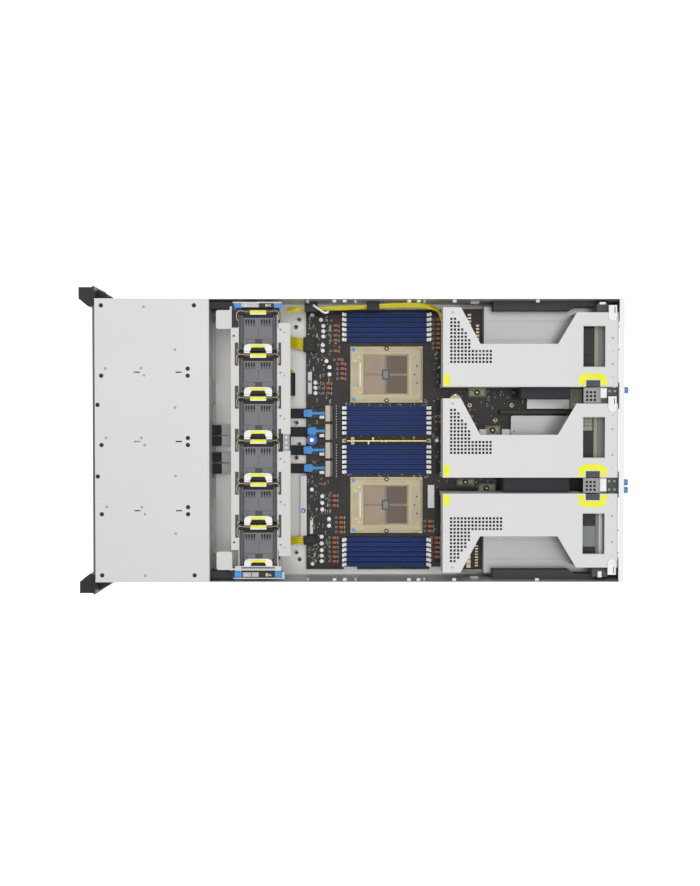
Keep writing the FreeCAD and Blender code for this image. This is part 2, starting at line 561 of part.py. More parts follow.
def drive_lever(number):
    """Release lever on the front of a tray, hinged at its foot."""
    label = "drive_lever_%d" % (number + 1)
    y = span(tray_middle(number), "lever_width")
    corners = [
        ("0", "0"), ("0", "lever_length"), ("lever_thickness + 0.8", "lever_length"),
        ("lever_thickness + 0.8", "lever_length - 6"), ("lever_thickness", "lever_length - 9"),
        ("lever_thickness", "0"),
    ]
    blade = profile(label + "_blade", "XZ_Plane", corners, "lever_width",
                    x=at("-lever_stand"), y=y[1], z="lever_pivot_height")
    barrel = rod(label + "_barrel", "y", (LEVER_PIVOT_X, "lever_pivot_height"), "lever_thickness / 2", *y)
    ends = span(tray_middle(number), "lever_width + 2 * lever_ear_gap + 2 * lever_ear - 0.2")
    pin = rod(label + "_pin", "y", (LEVER_PIVOT_X, "lever_pivot_height"), "lever_pin_radius", *ends)
    node(label, [fuse(label + "_fused", [blade, barrel, pin])])


def drive_backplane():
    """Board behind the drives with a connector for each, cable sockets at the rear and a frame to the bay."""
    board = box("backplane_board", run(at("backplane_at"), "backplane_thickness"),
                ("-%s" % BAY_HALF, BAY_HALF), ("tray_bottom - backplane_margin", "tray_top"))
    air = [box("backplane_air%d" % k, (at("backplane_at - 1"), at("backplane_at + backplane_thickness + 1")),
               span("%d * tray_pitch" % k, "backplane_air_width"),
               ("backplane_air_low", "backplane_air_high"))
           for k in range(-3, 4)]
    pieces = [cut("backplane_cut", board, air)]
    for number in range(COUNTS["drive trays"]):
        pieces.append(box("bay_connector%d" % number,
                          (at("backplane_at - bay_connector_depth"),
                           at("backplane_at + backplane_thickness / 2")),
                          span(tray_middle(number), "bay_connector_width"),
                          run("tray_bottom + bay_connector_depth", "bay_connector_height")))
    for y in CABLE_FRONTS:
        pieces.append(box("rear_socket" + y.replace("-", "_"),
                          (at("backplane_at + backplane_thickness / 2"), at(CABLE_START)),
                          span(y, "ribbon_width + 2 * bay_socket_margin"),
                          ("bay_socket_low", "bay_socket_high")))
    node("drive_backplane", [fuse("backplane_fused", pieces)])


# Y of the signal cables where they leave the bay, and where they start behind the backplane
CABLE_FRONTS = ("16", "-2", "-28", "-47")
CABLE_START = "backplane_at + backplane_thickness + bay_socket_depth"


def cable_rear(number):
    """Y of a signal cable at its socket on the board."""
    return "(cable_socket_offset + %.1f * cable_socket_pitch)" % (1.5 - number)


# Fans: a cage that lifts out, with six modules that lift out of it, each with its rotor
FAN_BACK = "(fan_at + fan_depth)"
FAN_ROW_HALF = "(%d * fan_pitch / 2 + fan_cage_gap)" % COUNTS["fans"]


def fan_cage():
    """Floor, two walls with a window per fan, end walls on the chassis floor, flanges and lifting pads."""
    low_y = "fan_row_offset - %s" % FAN_ROW_HALF
    high_y = "fan_row_offset + %s" % FAN_ROW_HALF
    walls = []
    for name, start in (("front", "fan_at - fan_cage_gap - sheet_steel"),
                        ("rear", FAN_BACK + " + fan_cage_gap")):
        plate = box("fan_wall_" + name, run(at(start), "sheet_steel"), (low_y, high_y),
                    ("fan_cage_floor", "fan_cage_top"))
        windows = [box("fan_window_%s%d" % (name, k), (at(start + " - 1"), at(start + " + sheet_steel + 1")),
                       span(fan_middle(k), "2 * fan_bore_radius"),
                       ("fan_axis_height - fan_bore_radius + 2", "fan_axis_height + fan_bore_radius"))
                   for k in range(COUNTS["fans"])]
        walls.append(cut("fan_wall_%s_cut" % name, plate, windows))
    floor = box("fan_floor",
                (at("fan_at - fan_cage_gap - sheet_steel"), at(FAN_BACK + " + fan_cage_gap + sheet_steel")),
                (low_y, high_y), ("fan_cage_floor", "fan_cage_floor + sheet_steel"))
    top = ("fan_cage_top - sheet_steel", "fan_cage_top")
    flange_y = span("fan_row_offset + fan_flange_offset", "fan_flange_length")
    flanges = [
        box("fan_front_strip", (at("fan_at - fan_cage_gap - fan_front_flange"), at("fan_at - fan_cage_gap")),
            flange_y, top),
        box("fan_rear_strip", (at(FAN_BACK + " + fan_cage_gap"),
                               at(FAN_BACK + " + fan_cage_gap + fan_rear_flange")),
            flange_y, top),
    ]
    pieces = walls + [floor] + flanges
    for side, edge in ((1, high_y), (-1, low_y)):
        ends = ((edge, edge + " + sheet_steel"), (edge + " - sheet_steel", edge))[side < 0]
        pieces.append(box("fan_end%d" % side, (at("fan_at - 1"), at(FAN_BACK + " + 1")), ends,
                          ("sheet_steel", "fan_cage_top")))
        rail = ((edge, edge + " + fan_side_rail"), (edge + " - fan_side_rail", edge))[side < 0]
        pieces.append(box("fan_rail%d" % side,
                          (at("fan_at - fan_rail_overhang"), at(FAN_BACK + " + fan_rail_overhang")), rail,
                          top))
        starts = ("fan_at - fan_rail_overhang", FAN_BACK + " + fan_rail_overhang - fan_pad_length")
        for number, start in enumerate(starts):
            pieces.append(box("fan_pad%d_%d" % (side, number), run(at(start), "fan_pad_length"), rail,
                              ("fan_cage_top - sheet_steel / 2", "fan_cage_top + fan_pad_height")))
    node("fan_cage", [fuse("fan_cage_fused", pieces)])


def fan_middle(number):
    """Y of a fan's axis; the first fan is the leftmost."""
    return "(fan_row_offset + %.1f * fan_pitch)" % ((COUNTS["fans"] - 1) / 2 - number)


STATOR_FRONT = "(%s - fan_stator_length)" % FAN_BACK


def fan_module(number):
    """Ducted housing with a stator at the rear, side posts, a pull tab and an arched grip on top."""
    label = "fan_module_%d" % (number + 1)
    middle = fan_middle(number)
    x = run(at("fan_at"), "fan_depth")
    housing = box(label + "_block", x, span(middle, "fan_width"), ("fan_bottom", "fan_top"))
    duct = rod(label + "_duct", "x", (middle, "fan_axis_height"), "fan_bore_radius",
               at("fan_at - 1"), at(FAN_BACK + " + 1"))
    waist = [box("%s_waist%d" % (label, side), (at("fan_at + fan_waist_inset"),
                                                at(FAN_BACK + " - fan_waist_inset")),
                 span("%s + %d * fan_width / 2" % (middle, side), "fan_waist_width"),
                 ("fan_top - fan_waist_depth", "fan_top + 1")) for side in (1, -1)]
    shell = cut(label + "_shell", housing, [duct] + waist)
    stator = (at(STATOR_FRONT), at(FAN_BACK + " - fan_stator_inset"))
    hub = rod(label + "_hub", "x", (middle, "fan_axis_height"), "fan_hub_radius", *stator)
    struts = [box(label + "_strut_up", stator, span(middle, "fan_strut"),
                  ("fan_axis_height - fan_bore_radius - 1", "fan_axis_height + fan_bore_radius + 1")),
              box(label + "_strut_side", stator, span(middle, "2 * fan_bore_radius + 2"),
                  span("fan_axis_height", "fan_strut"))]
    bush = rod(label + "_bush", "x", (middle, "fan_axis_height"), "fan_shaft_radius + running_fit",
               at(STATOR_FRONT + " - 1"), at(STATOR_FRONT + " + fan_shaft_length + 1"))
    stator_body = cut(label + "_stator", fuse(label + "_spider", [hub] + struts), [bush])
    grip_x = span(at("fan_at + fan_depth / 2"), "fan_grip_length")
    grip_y = span("%s - fan_touch_offset" % middle, "fan_grip_width")
    grip = box(label + "_grip", grip_x, grip_y, ("fan_top - 1", "fan_top + fan_grip_height"))
    finger_x = (grip_x[0] + " + fan_grip_wall", grip_x[1] + " - fan_grip_wall")
    finger = box(label + "_finger", finger_x, (grip_y[0] + " + fan_grip_wall", grip_y[1] + " + 1"),
                 ("fan_top", "fan_top + fan_grip_height + 1"))
    tab = box(label + "_tab", span(at("fan_at + fan_depth / 2"), "fan_tab_length"),
              span("%s + fan_touch_offset" % middle, "fan_tab_width"),
              ("fan_top - 1", "fan_top + fan_tab_height"))
    node(label, [fuse(label + "_fused", [shell, stator_body, cut(label + "_arch", grip, [finger]), tab])])


def blade_section(radius, angle, chord, thickness):
    """Thin slanted section of a blade, square to a radius."""
    along = FreeCAD.Vector(math.cos(angle), math.sin(angle), 0) * (chord / 2)
    over = FreeCAD.Vector(-math.sin(angle), math.cos(angle), 0) * (thickness / 2)
    lift = FreeCAD.Vector(0, 0, radius)
    corners = [lift - along - over, lift + along - over, lift + along + over, lift - along + over]
    return Part.makePolygon(corners + corners[:1])


def rotor_shape():
    """Hub, shaft and twisted blades about the X axis, front face at X = 0."""
    hub_radius = size("fan_hub_radius")
    length = size("fan_rotor_length")
    forward = FreeCAD.Vector(1, 0, 0)
    nose = Part.makeCylinder(hub_radius, length, FreeCAD.Vector(), forward)
    shaft = Part.makeCylinder(size("fan_shaft_radius"), length + size("fan_shaft_length"), FreeCAD.Vector(),
                              forward)
    tip = size("fan_bore_radius") - size("fan_tip_gap")
    thickness = size("fan_blade_thickness")
    root = blade_section(hub_radius - 2, math.radians(50), size("fan_blade_root"), thickness)
    end = blade_section(tip, math.radians(28), size("fan_blade_tip"), thickness)
    blade = Part.makeLoft([root, end], True, True)
    blade.translate(FreeCAD.Vector(length / 2, 0, 0))
    blades = []
    for number in range(COUNTS["fan blades"]):
        turned = blade.copy()
        turned.rotate(FreeCAD.Vector(), forward, 360 * number / COUNTS["fan blades"])
        blades.append(turned)
    return nose.fuse([shaft] + blades).removeSplitter()


def fan_rotor(number, shape):
    """Rotor with its shaft in the bush of the stator."""
    item = doc.addObject("Part::Feature", "rotor%d" % (number + 1))
    item.Shape = shape
    place(item, at(STATOR_FRONT + " - 1 - fan_rotor_length"), fan_middle(number), "fan_axis_height")
    node("fan_rotor_%d" % (number + 1), [item])


# Motherboard and what stands on it
def motherboard():
    """Board on its standoffs, narrower at the rear where the power supplies stand beside it."""
    half = "board_half_width"
    neck = "board_neck_half_width"
    rear = "chassis_length - board_rear_gap"
    corners = [
        ("board_at", "-" + half), ("board_neck_at", "-" + half), ("board_neck_at", "-" + neck),
        (rear, "-" + neck), (rear, neck), ("board_neck_at", neck), ("board_neck_at", half),
        ("board_at", half),
    ]
    board = profile("board_sheet", "XY_Plane", corners, "board_thickness", x=FRONT, z="board_height")
    notches = [box("board_notch%d" % k, span(at(distance), "board_notch_length"),
                   ("-%s - 1" % half, "board_notch_depth - " + half),
                   ("board_height - 1", BOARD_TOP + " + 1"))
               for k, distance in enumerate(("board_notch_front", "board_notch_rear"))]
    node("motherboard", [cut("board_cut", board, notches)])


def bank_rows():
    """Y of every memory slot: four banks, two on each side of the middle."""
    rows = []
    per_bank = COUNTS["slots per bank"]
    for bank in ("slot_bank_outer", "slot_bank_inner", "-slot_bank_inner", "-slot_bank_outer"):
        for number in range(per_bank):
            rows.append("(%s + %.1f * slot_pitch)" % (bank, (per_bank - 1) / 2 - number))
    return rows


def dimm_slots():
    """Every memory slot with its groove, and the key that splits the groove."""
    slots = []
    for number, middle in enumerate(bank_rows()):
        x = span(at("slot_row_at"), "slot_length")
        body = box("slot%d" % number, x, span(middle, "slot_width"), run(BOARD_TOP, "slot_height"))
        key = "slot_row_at + slot_key_shift"
        z = (BOARD_TOP + " + slot_height - slot_groove_depth", BOARD_TOP + " + slot_height + 1")
        groove_y = span(middle, "slot_groove")
        grooves = [box("groove%d_a" % number, (x[0] + " + slot_groove_end", at(key + " - slot_key / 2")),
                       groove_y, z),
                   box("groove%d_b" % number, (at(key + " + slot_key / 2"), x[1] + " - slot_groove_end"),
                       groove_y, z)]
        slots.append(cut("slot_cut%d" % number, body, grooves))
    node("dimm_slots", slots)


LATCH_PIVOT_HEIGHT = "(%s + latch_gap + latch_length / 2)" % BOARD_TOP


def dimm_latches(label, side):
    """Latch at one end of every slot, round at its foot, on one pivot line. side is -1 at the front."""
    latches = []
    foot = at("slot_row_at + %d * (slot_length / 2 + latch_gap)" % side)
    far = foot + " + %d * latch_length" % side
    hook = foot + " + %d * (latch_length - latch_hook)" % side
    pivot = foot + " + %d * latch_length / 2" % side
    for number, middle in enumerate(bank_rows()):
        y = span(middle, "latch_width")
        x = (foot, far) if side > 0 else (far, foot)
        x_top = (hook, far) if side > 0 else (far, hook)
        heel = rod("%s_heel%d" % (label, number), "y", (pivot, LATCH_PIVOT_HEIGHT), "latch_length / 2", *y)
        slot_top = BOARD_TOP + " + slot_height"
        low = box("%s_foot%d" % (label, number), x, y, (LATCH_PIVOT_HEIGHT, slot_top + " + latch_hook"))
        high = box("%s_arm%d" % (label, number), x_top, y, (slot_top, BOARD_TOP + " + latch_height"))
        latches.append(fuse("%s_latch%d" % (label, number), [heel, low, high]))
    node(label, latches)


def power_card():
    """Slim upright card between the two inner banks, in its own slot."""
    y = "(cable_socket_offset + card_shift)"
    holder = box("card_holder", span(at("slot_row_at"), "card_length + 6"), span(y, "slot_width"),
                 run(BOARD_TOP, "slot_height"))
    groove = box("card_groove", span(at("slot_row_at"), "card_length"), span(y, "card_thickness"),
                 (BOARD_TOP + " + card_seat", BOARD_TOP + " + slot_height + 1"))
    card = box("card_blade", span(at("slot_row_at"), "card_length"), span(y, "card_thickness"),
               (BOARD_TOP + " + card_seat", BOARD_TOP + " + card_height"))
    node("power_card", [fuse("card_fused", [cut("card_holder_cut", holder, [groove]), card])])


SOCKET_HINGE = "(slot_row_at + socket_length / 2 - socket_pin_inset)"
SOCKET_PIN_HEIGHT = "(%s + socket_base_height + socket_frame_gap + socket_barrel_radius)" % BOARD_TOP


def socket_window(name, side, low, high, grow):
    """Box through the window of a processor socket."""
    return box(name, span(at("slot_row_at - socket_window_shift"), "socket_window_length + %s" % grow),
               span("%d * socket_offset" % side, "socket_window_width + %s" % grow), (low, high))


def cpu_sockets():
    """Socket bases with contact fields, a cross gap between them, and hinge ears at the rear."""
    bases = []
    for name, side in (("a", 1), ("b", -1)):
        middle = "%d * socket_offset" % side
        top = BOARD_TOP + " + socket_base_height"
        base = box("socket_base_" + name, span(at("slot_row_at"), "socket_length"),
                   span(middle, "socket_width"), (BOARD_TOP, top))
        well = socket_window("socket_well_" + name, side, BOARD_TOP + " + socket_floor", top + " + 1", "0")
        fields = []
        for i in (1, -1):
            for j in (1, -1):
                field_x = "slot_row_at - socket_window_shift + %d * socket_window_length / 4" % i
                field_y = "%s + %d * socket_window_width / 4" % (middle, j)
                fields.append(box("contact_field_%s%d%d" % (name, i, j),
                                  span(at(field_x), "socket_window_length / 2 - contact_gap"),
                                  span(field_y, "socket_window_width / 2 - contact_gap"),
                                  (BOARD_TOP + " + 1", BOARD_TOP + " + contact_height")))
        ears = []
        for edge in (1, -1):
            ear_y = "%s + %d * (socket_width / 2 - socket_ear / 2)" % (middle, edge)
            ears.append(box("socket_ear_%s%d" % (name, edge),
                            span(at(SOCKET_HINGE), "2 * socket_pin_radius + 4"),
                            span(ear_y, "socket_ear"),
                            (BOARD_TOP + " + 1", SOCKET_PIN_HEIGHT + " + socket_pin_radius + 1.5")))
        ends = span(middle, "socket_width - 1")
        bore = rod("socket_bore_" + name, "y", (at(SOCKET_HINGE), SOCKET_PIN_HEIGHT),
                   "socket_pin_radius + running_fit", *ends)
        body = fuse("socket_fused_" + name, [cut("socket_cut_" + name, base, [well])] + fields + ears)
        bases.append(cut("socket_bored_" + name, body, [bore]))
    node("cpu_sockets", bases)


def socket_frame(number, side):
    """Hinged frame over a socket, with its barrel and pin at the rear end."""
    label = "socket_frame_%d" % number
    middle = "%d * socket_offset" % side
    low = BOARD_TOP + " + socket_base_height + socket_frame_gap"
    high = low + " + socket_frame_thickness"
    plate = box(label + "_plate", (at("slot_row_at - socket_length / 2 + 1"), at(SOCKET_HINGE)),
                span(middle, "socket_width - 2 * socket_ear - 1"), (low, high))
    window = socket_window(label + "_window", side, low + " - 1", high + " + 1", "2")
    barrel = rod(label + "_barrel", "y", (at(SOCKET_HINGE), SOCKET_PIN_HEIGHT), "socket_barrel_radius",
                 *span(middle, "socket_width - 2 * socket_ear - 1"))
    pin = rod(label + "_pin", "y", (at(SOCKET_HINGE), SOCKET_PIN_HEIGHT), "socket_pin_radius",
              *span(middle, "socket_width - 2"))
    node(label, [fuse(label + "_fused", [cut(label + "_cut", plate, [window]), barrel, pin])])


# Capacitors and coils stand in short rows: distance behind the front face, first Y, count and step in Y
CAPACITOR_ROWS = [
    ("352", "slot_bank_outer + 12.2", 1, 0), ("356", "slot_bank_outer + 2.2", 3, -8.5),
    ("355", "socket_offset + 47.7", 2, -9), ("361", "socket_offset + 21.7", 1, 0),
    ("366", "socket_offset + 11.7", 2, -11.5), ("343", "socket_offset - 13.3", 3, -8.5),
    ("337", "25.3 - socket_offset", 1, 0), ("354", "14.3 - socket_offset", 3, -10.8),
    ("365", "-socket_offset - 22.7", 2, -11), ("353", "-socket_offset - 51.7", 2, -11),
    ("353", "2.8 - slot_bank_outer", 3, -9),
]
COIL_ROWS = [
    ("376", "slot_bank_outer + 3.2", 4, -7.9), ("376", "socket_offset + 38.7", 1, 0),
    ("382", "socket_offset + 24.7", 1, 0), ("387", "socket_offset + 17.7", 4, -8),
    ("364", "socket_offset - 14.3", 3, -7.9), ("543", "slot_bank_outer + 13.2", 7, -7.7),
    ("548", "slot_bank_inner + 6.4", 2, -8.6), ("374", "15.3 - socket_offset", 3, -7.9),
    ("385", "-socket_offset - 20.7", 4, -7.8), ("374", "22.8 - slot_bank_outer", 6, -7.7),
    ("530", "-socket_offset - 26.7", 3, -7.9), ("541", "22.8 - slot_bank_outer", 5, -7.8),
]


def board_parts():
    """Capacitors, coils, the cable sockets, riser sockets, the battery and the board's pull knob."""
    pieces = []
    for row, (distance, first, count, step) in enumerate(CAPACITOR_ROWS):
        for k in range(count):
            pieces.append(rod("capacitor%d_%d" % (row, k), "z", (at(distance), "%s + %s" % (first, k * step)),
                              "capacitor_radius", BOARD_TOP, BOARD_TOP + " + capacitor_height"))
    for row, (distance, first, count, step) in enumerate(COIL_ROWS):
        for k in range(count):
            pieces.append(box("coil%d_%d" % (row, k), span(at(distance), "coil_length"),
                              span("%s + %s" % (first, k * step), "coil_width"),
                              run(BOARD_TOP, "coil_height")))
    for number in range(len(CABLE_FRONTS)):
        socket = box("cable_socket%d" % number, run(at("cable_socket_at"), "cable_socket_length"),
                     span(cable_rear(number), "cable_socket_width"), run(BOARD_TOP, "cable_socket_height"))
        mouth = box("cable_mouth%d" % number,
                    (at("cable_socket_at - 1"), at("cable_socket_at + cable_mouth_depth")),
                    span(cable_rear(number), "ribbon_width + 2"),
                    (BOARD_TOP + " + 2", BOARD_TOP + " + cable_socket_height - 2"))
        pieces.append(cut("cable_socket_cut%d" % number, socket, [mouth]))
    for name, base, side in riser_bases():
        y = strip(base, side, "riser_board_inset - riser_socket_margin",
                  "riser_board_inset + riser_board_thickness + riser_socket_margin")
        pieces.append(box("riser_socket_" + name,
                          (at("riser_at + riser_socket_start"), at("riser_at + riser_socket_end")), y,
                          run(BOARD_TOP, "riser_socket_height")))
    pieces.append(rod("battery", "z", (at("battery_at"), "battery_y"), "battery_radius",
                      BOARD_TOP, BOARD_TOP + " + battery_height"))
    knob_top = BOARD_TOP + " + knob_height"
    stem = rod("knob_stem", "z", (at("knob_at"), "0"), "knob_radius / 2.2", BOARD_TOP, knob_top + " - 2")
    cap = rod("knob_cap", "z", (at("knob_at"), "0"), "knob_radius", knob_top + " - knob_cap_height", knob_top)
    pieces.append(fuse("knob", [stem, cap]))
    node("board_parts", pieces)


# Risers: a folded, perforated bracket that lifts out with its board and card sockets
def columns_at(distance):
    """How many holes of a row fit in front of the slanted edge, at a distance from the straight side."""
    lobe_end, waist_start = size("riser_lobe_end"), size("riser_waist_start")
    outer, waist = size("riser_lobe_width"), size("riser_waist_width")
    share = min(max((outer - distance) / (outer - waist), 0), 1)
    edges = size("perforation_margin") + size("perforation_first")
    room = lobe_end + share * (waist_start - lobe_end) - edges
    return int(room // size("perforation_pitch")) + 1


def riser_top_shape(side, holes_wide):
    """Top sheet of a riser with its perforation, card window, finger notch and screw holes."""
    outline = [
        (0, 0), (size("riser_notch_start"), 0), (size("riser_notch_start"), size("riser_notch_depth")),
        (size("riser_notch_start") + size("riser_notch_length"), size("riser_notch_depth")),
        (size("riser_notch_start") + size("riser_notch_length"), 0),
        (size("riser_length"), 0), (size("riser_length"), size("riser_rear_width")),
        (size("riser_rear_start"), size("riser_rear_width")),
        (size("riser_waist_end"), size("riser_waist_width")),
        (size("riser_waist_start"), size("riser_waist_width")),
        (size("riser_lobe_end"), size("riser_lobe_width")),
        (0, size("riser_lobe_width")),
    ]

    def loop(points):
        corners = [FreeCAD.Vector(u, side * v, 0) for u, v in points]
        return Part.makePolygon(corners + corners[:1])

    def square(u, v, width, depth):
        return loop([(u, v), (u + width, v), (u + width, v + depth), (u, v + depth)])

    pitch, hole = size("perforation_pitch"), size("perforation_hole")
    loops = [square(size("riser_window_start"), size("riser_window_low"),
                    size("riser_window_length"), size("riser_window_width"))]
    for row in range(int(size("perforation_rows"))):
        distance = size("perforation_base") + row * pitch
        wide = row < size("perforation_wide_rows")
        columns = holes_wide if wide else columns_at(distance)
        for column in range(columns):
            u = size("perforation_first") + column * pitch
            loops.append(square(u - hole / 2, distance - hole / 2, hole, hole))
    faces = Part.Face(loop(outline)).cut(Part.makeCompound([Part.Face(item) for item in loops]))
    return faces.extrude(FreeCAD.Vector(0, 0, size("sheet_steel")))


def riser_cage(name, base, side):
    """Riser bracket with its walls, rear bracket, board and card sockets."""
    label = "riser_cage_" + name
    top = "riser_top - sheet_steel"
    plate = doc.addObject("Part::Feature", label + "_plate")
    wide = int(size("perforation_wide_columns")) + (3 if side < 0 else 0)
    plate.Shape = riser_top_shape(side, wide)
    place(plate, at("riser_at"), base, top)
    low = "riser_wall_low"

    def wall(tag, start, end, near, far, bottom):
        return box(label + tag, (at("riser_at + " + start), at("riser_at + " + end)),
                   strip(base, side, near, far), (bottom, top + " + sheet_steel / 2"))

    pieces = [
        plate,
        wall("_front", "0", "sheet_steel", "0", "riser_lobe_width", low),
        wall("_base", "0", "riser_notch_start", "0", "sheet_steel", "riser_base_wall_low"),
        wall("_base_end", "riser_notch_start + riser_notch_length", "riser_length", "0", "sheet_steel", low),
        wall("_waist", "riser_waist_start", "riser_waist_end", "riser_waist_width - sheet_steel",
             "riser_waist_width", low),
        wall("_lobe", "0", "riser_lobe_end", "riser_lobe_width - sheet_steel", "riser_lobe_width", low),
        wall("_outer", "riser_rear_start", "riser_length", "riser_rear_width - sheet_steel",
             "riser_rear_width", low),
    ]
    bracket = wall("_bracket", "riser_length - sheet_steel", "riser_length", "0", "riser_rear_width", low)
    bracket_slots = [box("%s_air%d" % (label, k),
                         (at("riser_at + riser_length - 3"), at("riser_at + riser_length + 1")),
                         strip(base, side, "riser_air_first + %d * riser_air_pitch" % k,
                               "riser_air_first + %d * riser_air_pitch + riser_air_width" % k),
                         ("riser_air_low", "riser_air_high")) for k in range(5)]
    pieces.append(cut(label + "_bracket_cut", bracket, bracket_slots))
    pieces.append(rod(label + "_pivot", "z", (at("riser_at + riser_length - slot_lever_pivot_inset"),
                                              across(base, side, "riser_rear_width - slot_lever_pivot_edge")),
                      "slot_lever_pin_radius", top, "riser_top + slot_lever_thickness"))
    board_face = "riser_board_inset + riser_board_thickness"
    board = box(label + "_board", (at("riser_at + sheet_steel / 2"), at("riser_at + riser_window_start - 4")),
                strip(base, side, "riser_board_inset", board_face),
                (BOARD_TOP + " + riser_socket_height + riser_board_gap", "riser_top - sheet_steel / 2"))
    sockets = [box(label + "_" + level, run(at("riser_at + riser_slot_at"), "riser_slot_length"),
                   strip(base, side, "riser_board_inset + riser_board_thickness / 2",
                         board_face + " + riser_slot_depth"),
                   run(level, "riser_slot_width")) for level in ("riser_slot_low", "riser_slot_high")]
    node(label, [fuse(label + "_fused", pieces + [board] + sockets)])


def slot_lever(name, base, side):
    """Lever over the rear corner of a riser, turning on an upright pin."""
    label = "slot_lever_" + name
    x = at("riser_at + riser_length - slot_lever_pivot_inset")
    y = across(base, side, "riser_rear_width - slot_lever_pivot_edge")
    pivot = "riser_rear_width - slot_lever_pivot_edge"
    z = ("riser_top + slot_lever_gap", "riser_top + slot_lever_thickness")
    through = ("riser_top - 1", "riser_top + slot_lever_thickness + 1")
    arm = box(label + "_arm", span(x, "slot_lever_width"),
              strip(base, side, pivot, pivot + " + slot_lever_length"), z)
    eye = rod(label + "_eye", "z", (x, y), "slot_lever_width / 2", *z)
    bore = rod(label + "_bore", "z", (x, y), "slot_lever_pin_radius + running_fit", *through)
    slit = box(label + "_slit", span(x, "slot_lever_slit"),
               strip(base, side, pivot + " + slot_lever_slit_start",
                     pivot + " + slot_lever_length - slot_lever_slit_end"), through)
    node(label, [cut(label + "_cut", fuse(label + "_fused", [arm, eye]), [bore, slit])])


# Power supplies, one in each rear corner, with a handle and a sprung latch
def supply(number, side):
    """Case with air slots and a mains inlet in its rear face, and a bar handle."""
    label = "power_supply_%d" % number
    inner = "supply_outer - supply_width"
    z = run("sheet_steel + supply_gap", "supply_height")
    body = box(label + "_case", (at("supply_at"), REAR), sided(side, inner, "supply_outer"), z)
    air = []
    for k in range(7):
        near = inner + " + supply_air_first + %d * supply_air_pitch" % k
        air.append(box("%s_air%d" % (label, k), (REAR + " - supply_air_depth", REAR + " + 1"),
                       sided(side, near, near + " + supply_air_width"),
                       run(z[0] + " + supply_air_first", "supply_air_height")))
    inlet = box(label + "_inlet", (REAR + " - inlet_depth", REAR + " + 1"),
                sided(side, "supply_outer - inlet_far", "supply_outer - inlet_near"),
                run(z[0] + " + inlet_low", "inlet_height"))
    bar = "supply_handle_bar"
    near = inner + " + supply_handle_inset"
    far = near + " + supply_handle_width"
    level = run(z[0] + " + supply_handle_height", bar)
    reach = REAR + " + rear_reach"
    handle = [
        box(label + "_handle_bar", (reach + " - " + bar, reach), sided(side, near, far), level),
        box(label + "_handle_near", (REAR + " - 1", reach), sided(side, near, near + " + " + bar), level),
        box(label + "_handle_far", (REAR + " - 1", reach), sided(side, far + " - " + bar, far), level),
    ]
    node(label, [fuse(label + "_fused", [cut(label + "_cut", body, air + [inlet])] + handle)])


def supply_latch(number, side):
    """Thumb latch beside the handle, pressed towards it to free the supply."""
    label = "supply_latch_%d" % number
    start = "supply_outer - supply_width + supply_handle_inset + supply_handle_width + supply_latch_gap"
    face = REAR + " + supply_latch_reach"
    z = run("sheet_steel + supply_gap + supply_latch_low", "supply_latch_height")
    stem = box(label + "_stem", (REAR + " + 0.1", face), sided(side, start, start + " + supply_latch_stem"),
               z)
    pad = box(label + "_pad", (face + " - supply_latch_pad", face),
              sided(side, start, start + " + supply_latch_width"), z)
    node(label, [fuse(label + "_fused", [stem, pad])])


def air_baffles():
    """Dark foam strips along the side walls above the power supplies, and blocks between the risers."""
    pieces = []
    edge = HALF + " - sheet_steel"
    strip_corners = [
        ("baffle_at", edge + " - baffle_width"), ("baffle_at + baffle_length", edge + " - baffle_width"),
        ("baffle_at + baffle_length + baffle_chamfer", edge + " - baffle_tail_width"),
        ("baffle_at + baffle_length + baffle_tail", edge + " - baffle_tail_width"),
        ("baffle_at + baffle_length + baffle_tail", edge), ("baffle_at", edge),
    ]
    for side in (1, -1):
        corners = strip_corners
        if side < 0:
            corners = [(x, "-(%s)" % y) for x, y in reversed(strip_corners)]
        pieces.append(profile("baffle_%s" % ("left" if side > 0 else "right"), "XY_Plane", corners,
                              "baffle_height",
                              x=FRONT, z="sheet_steel + supply_height + 3 * supply_gap"))
    blocks = (("gap_block_left_at", "riser_middle_base + riser_lobe_width", "riser_left_base"),
              ("gap_block_right_at", "riser_right_base", "riser_middle_base"))
    for start, low, high in blocks:
        pieces.append(box("block_" + start, (at(start), at("gap_block_end")),
                          (low + " + gap_block_gap", high + " - gap_block_gap"),
                          (BOARD_TOP, "gap_block_height")))
    node("air_baffles", pieces)


# Cables: flat ones run over the chassis floor under the fans, the yellow loom along the left wall
def flat_run(points, width, thickness, bend):
    """Flat cable bent along points in the XZ plane, centred on Y = 0."""
    path = []
    start = points[0]
    for before, corner, after in zip(points, points[1:], points[2:]):
        into = (corner - before).normalize()
        out = (after - corner).normalize()
        turn = into.getAngle(out)
        reach = bend * math.tan(turn / 2)
        arc_start = corner - into * reach
        arc_end = corner + out * reach
        to_middle = (out - into).normalize()
        middle = corner + to_middle * (bend / math.cos(turn / 2) - bend)
        path.append(Part.LineSegment(start, arc_start).toShape())
        path.append(Part.Arc(arc_start, middle, arc_end).toShape())
        start = arc_end
    path.append(Part.LineSegment(start, points[-1]).toShape())
    along = (points[1] - points[0]).normalize()
    over = along.cross(FreeCAD.Vector(0, 1, 0)) * (thickness / 2)
    side = FreeCAD.Vector(0, width / 2, 0)
    corners = [points[0] + over + side, points[0] - over + side, points[0] - over - side,
               points[0] + over - side]
    return Part.Wire(path).makePipeShell([Part.makePolygon(corners + corners[:1])], True, False)


def route(front_width, front_points, name, y):
    """Flat cable along points given as distances behind the front face and heights."""
    item = doc.addObject("Part::Feature", name)
    points = [FreeCAD.Vector(distance, 0, height) for distance, height in front_points]
    item.Shape = flat_run(points, front_width, size("ribbon_thickness"), size("ribbon_bend"))
    return place(item, FRONT, y)


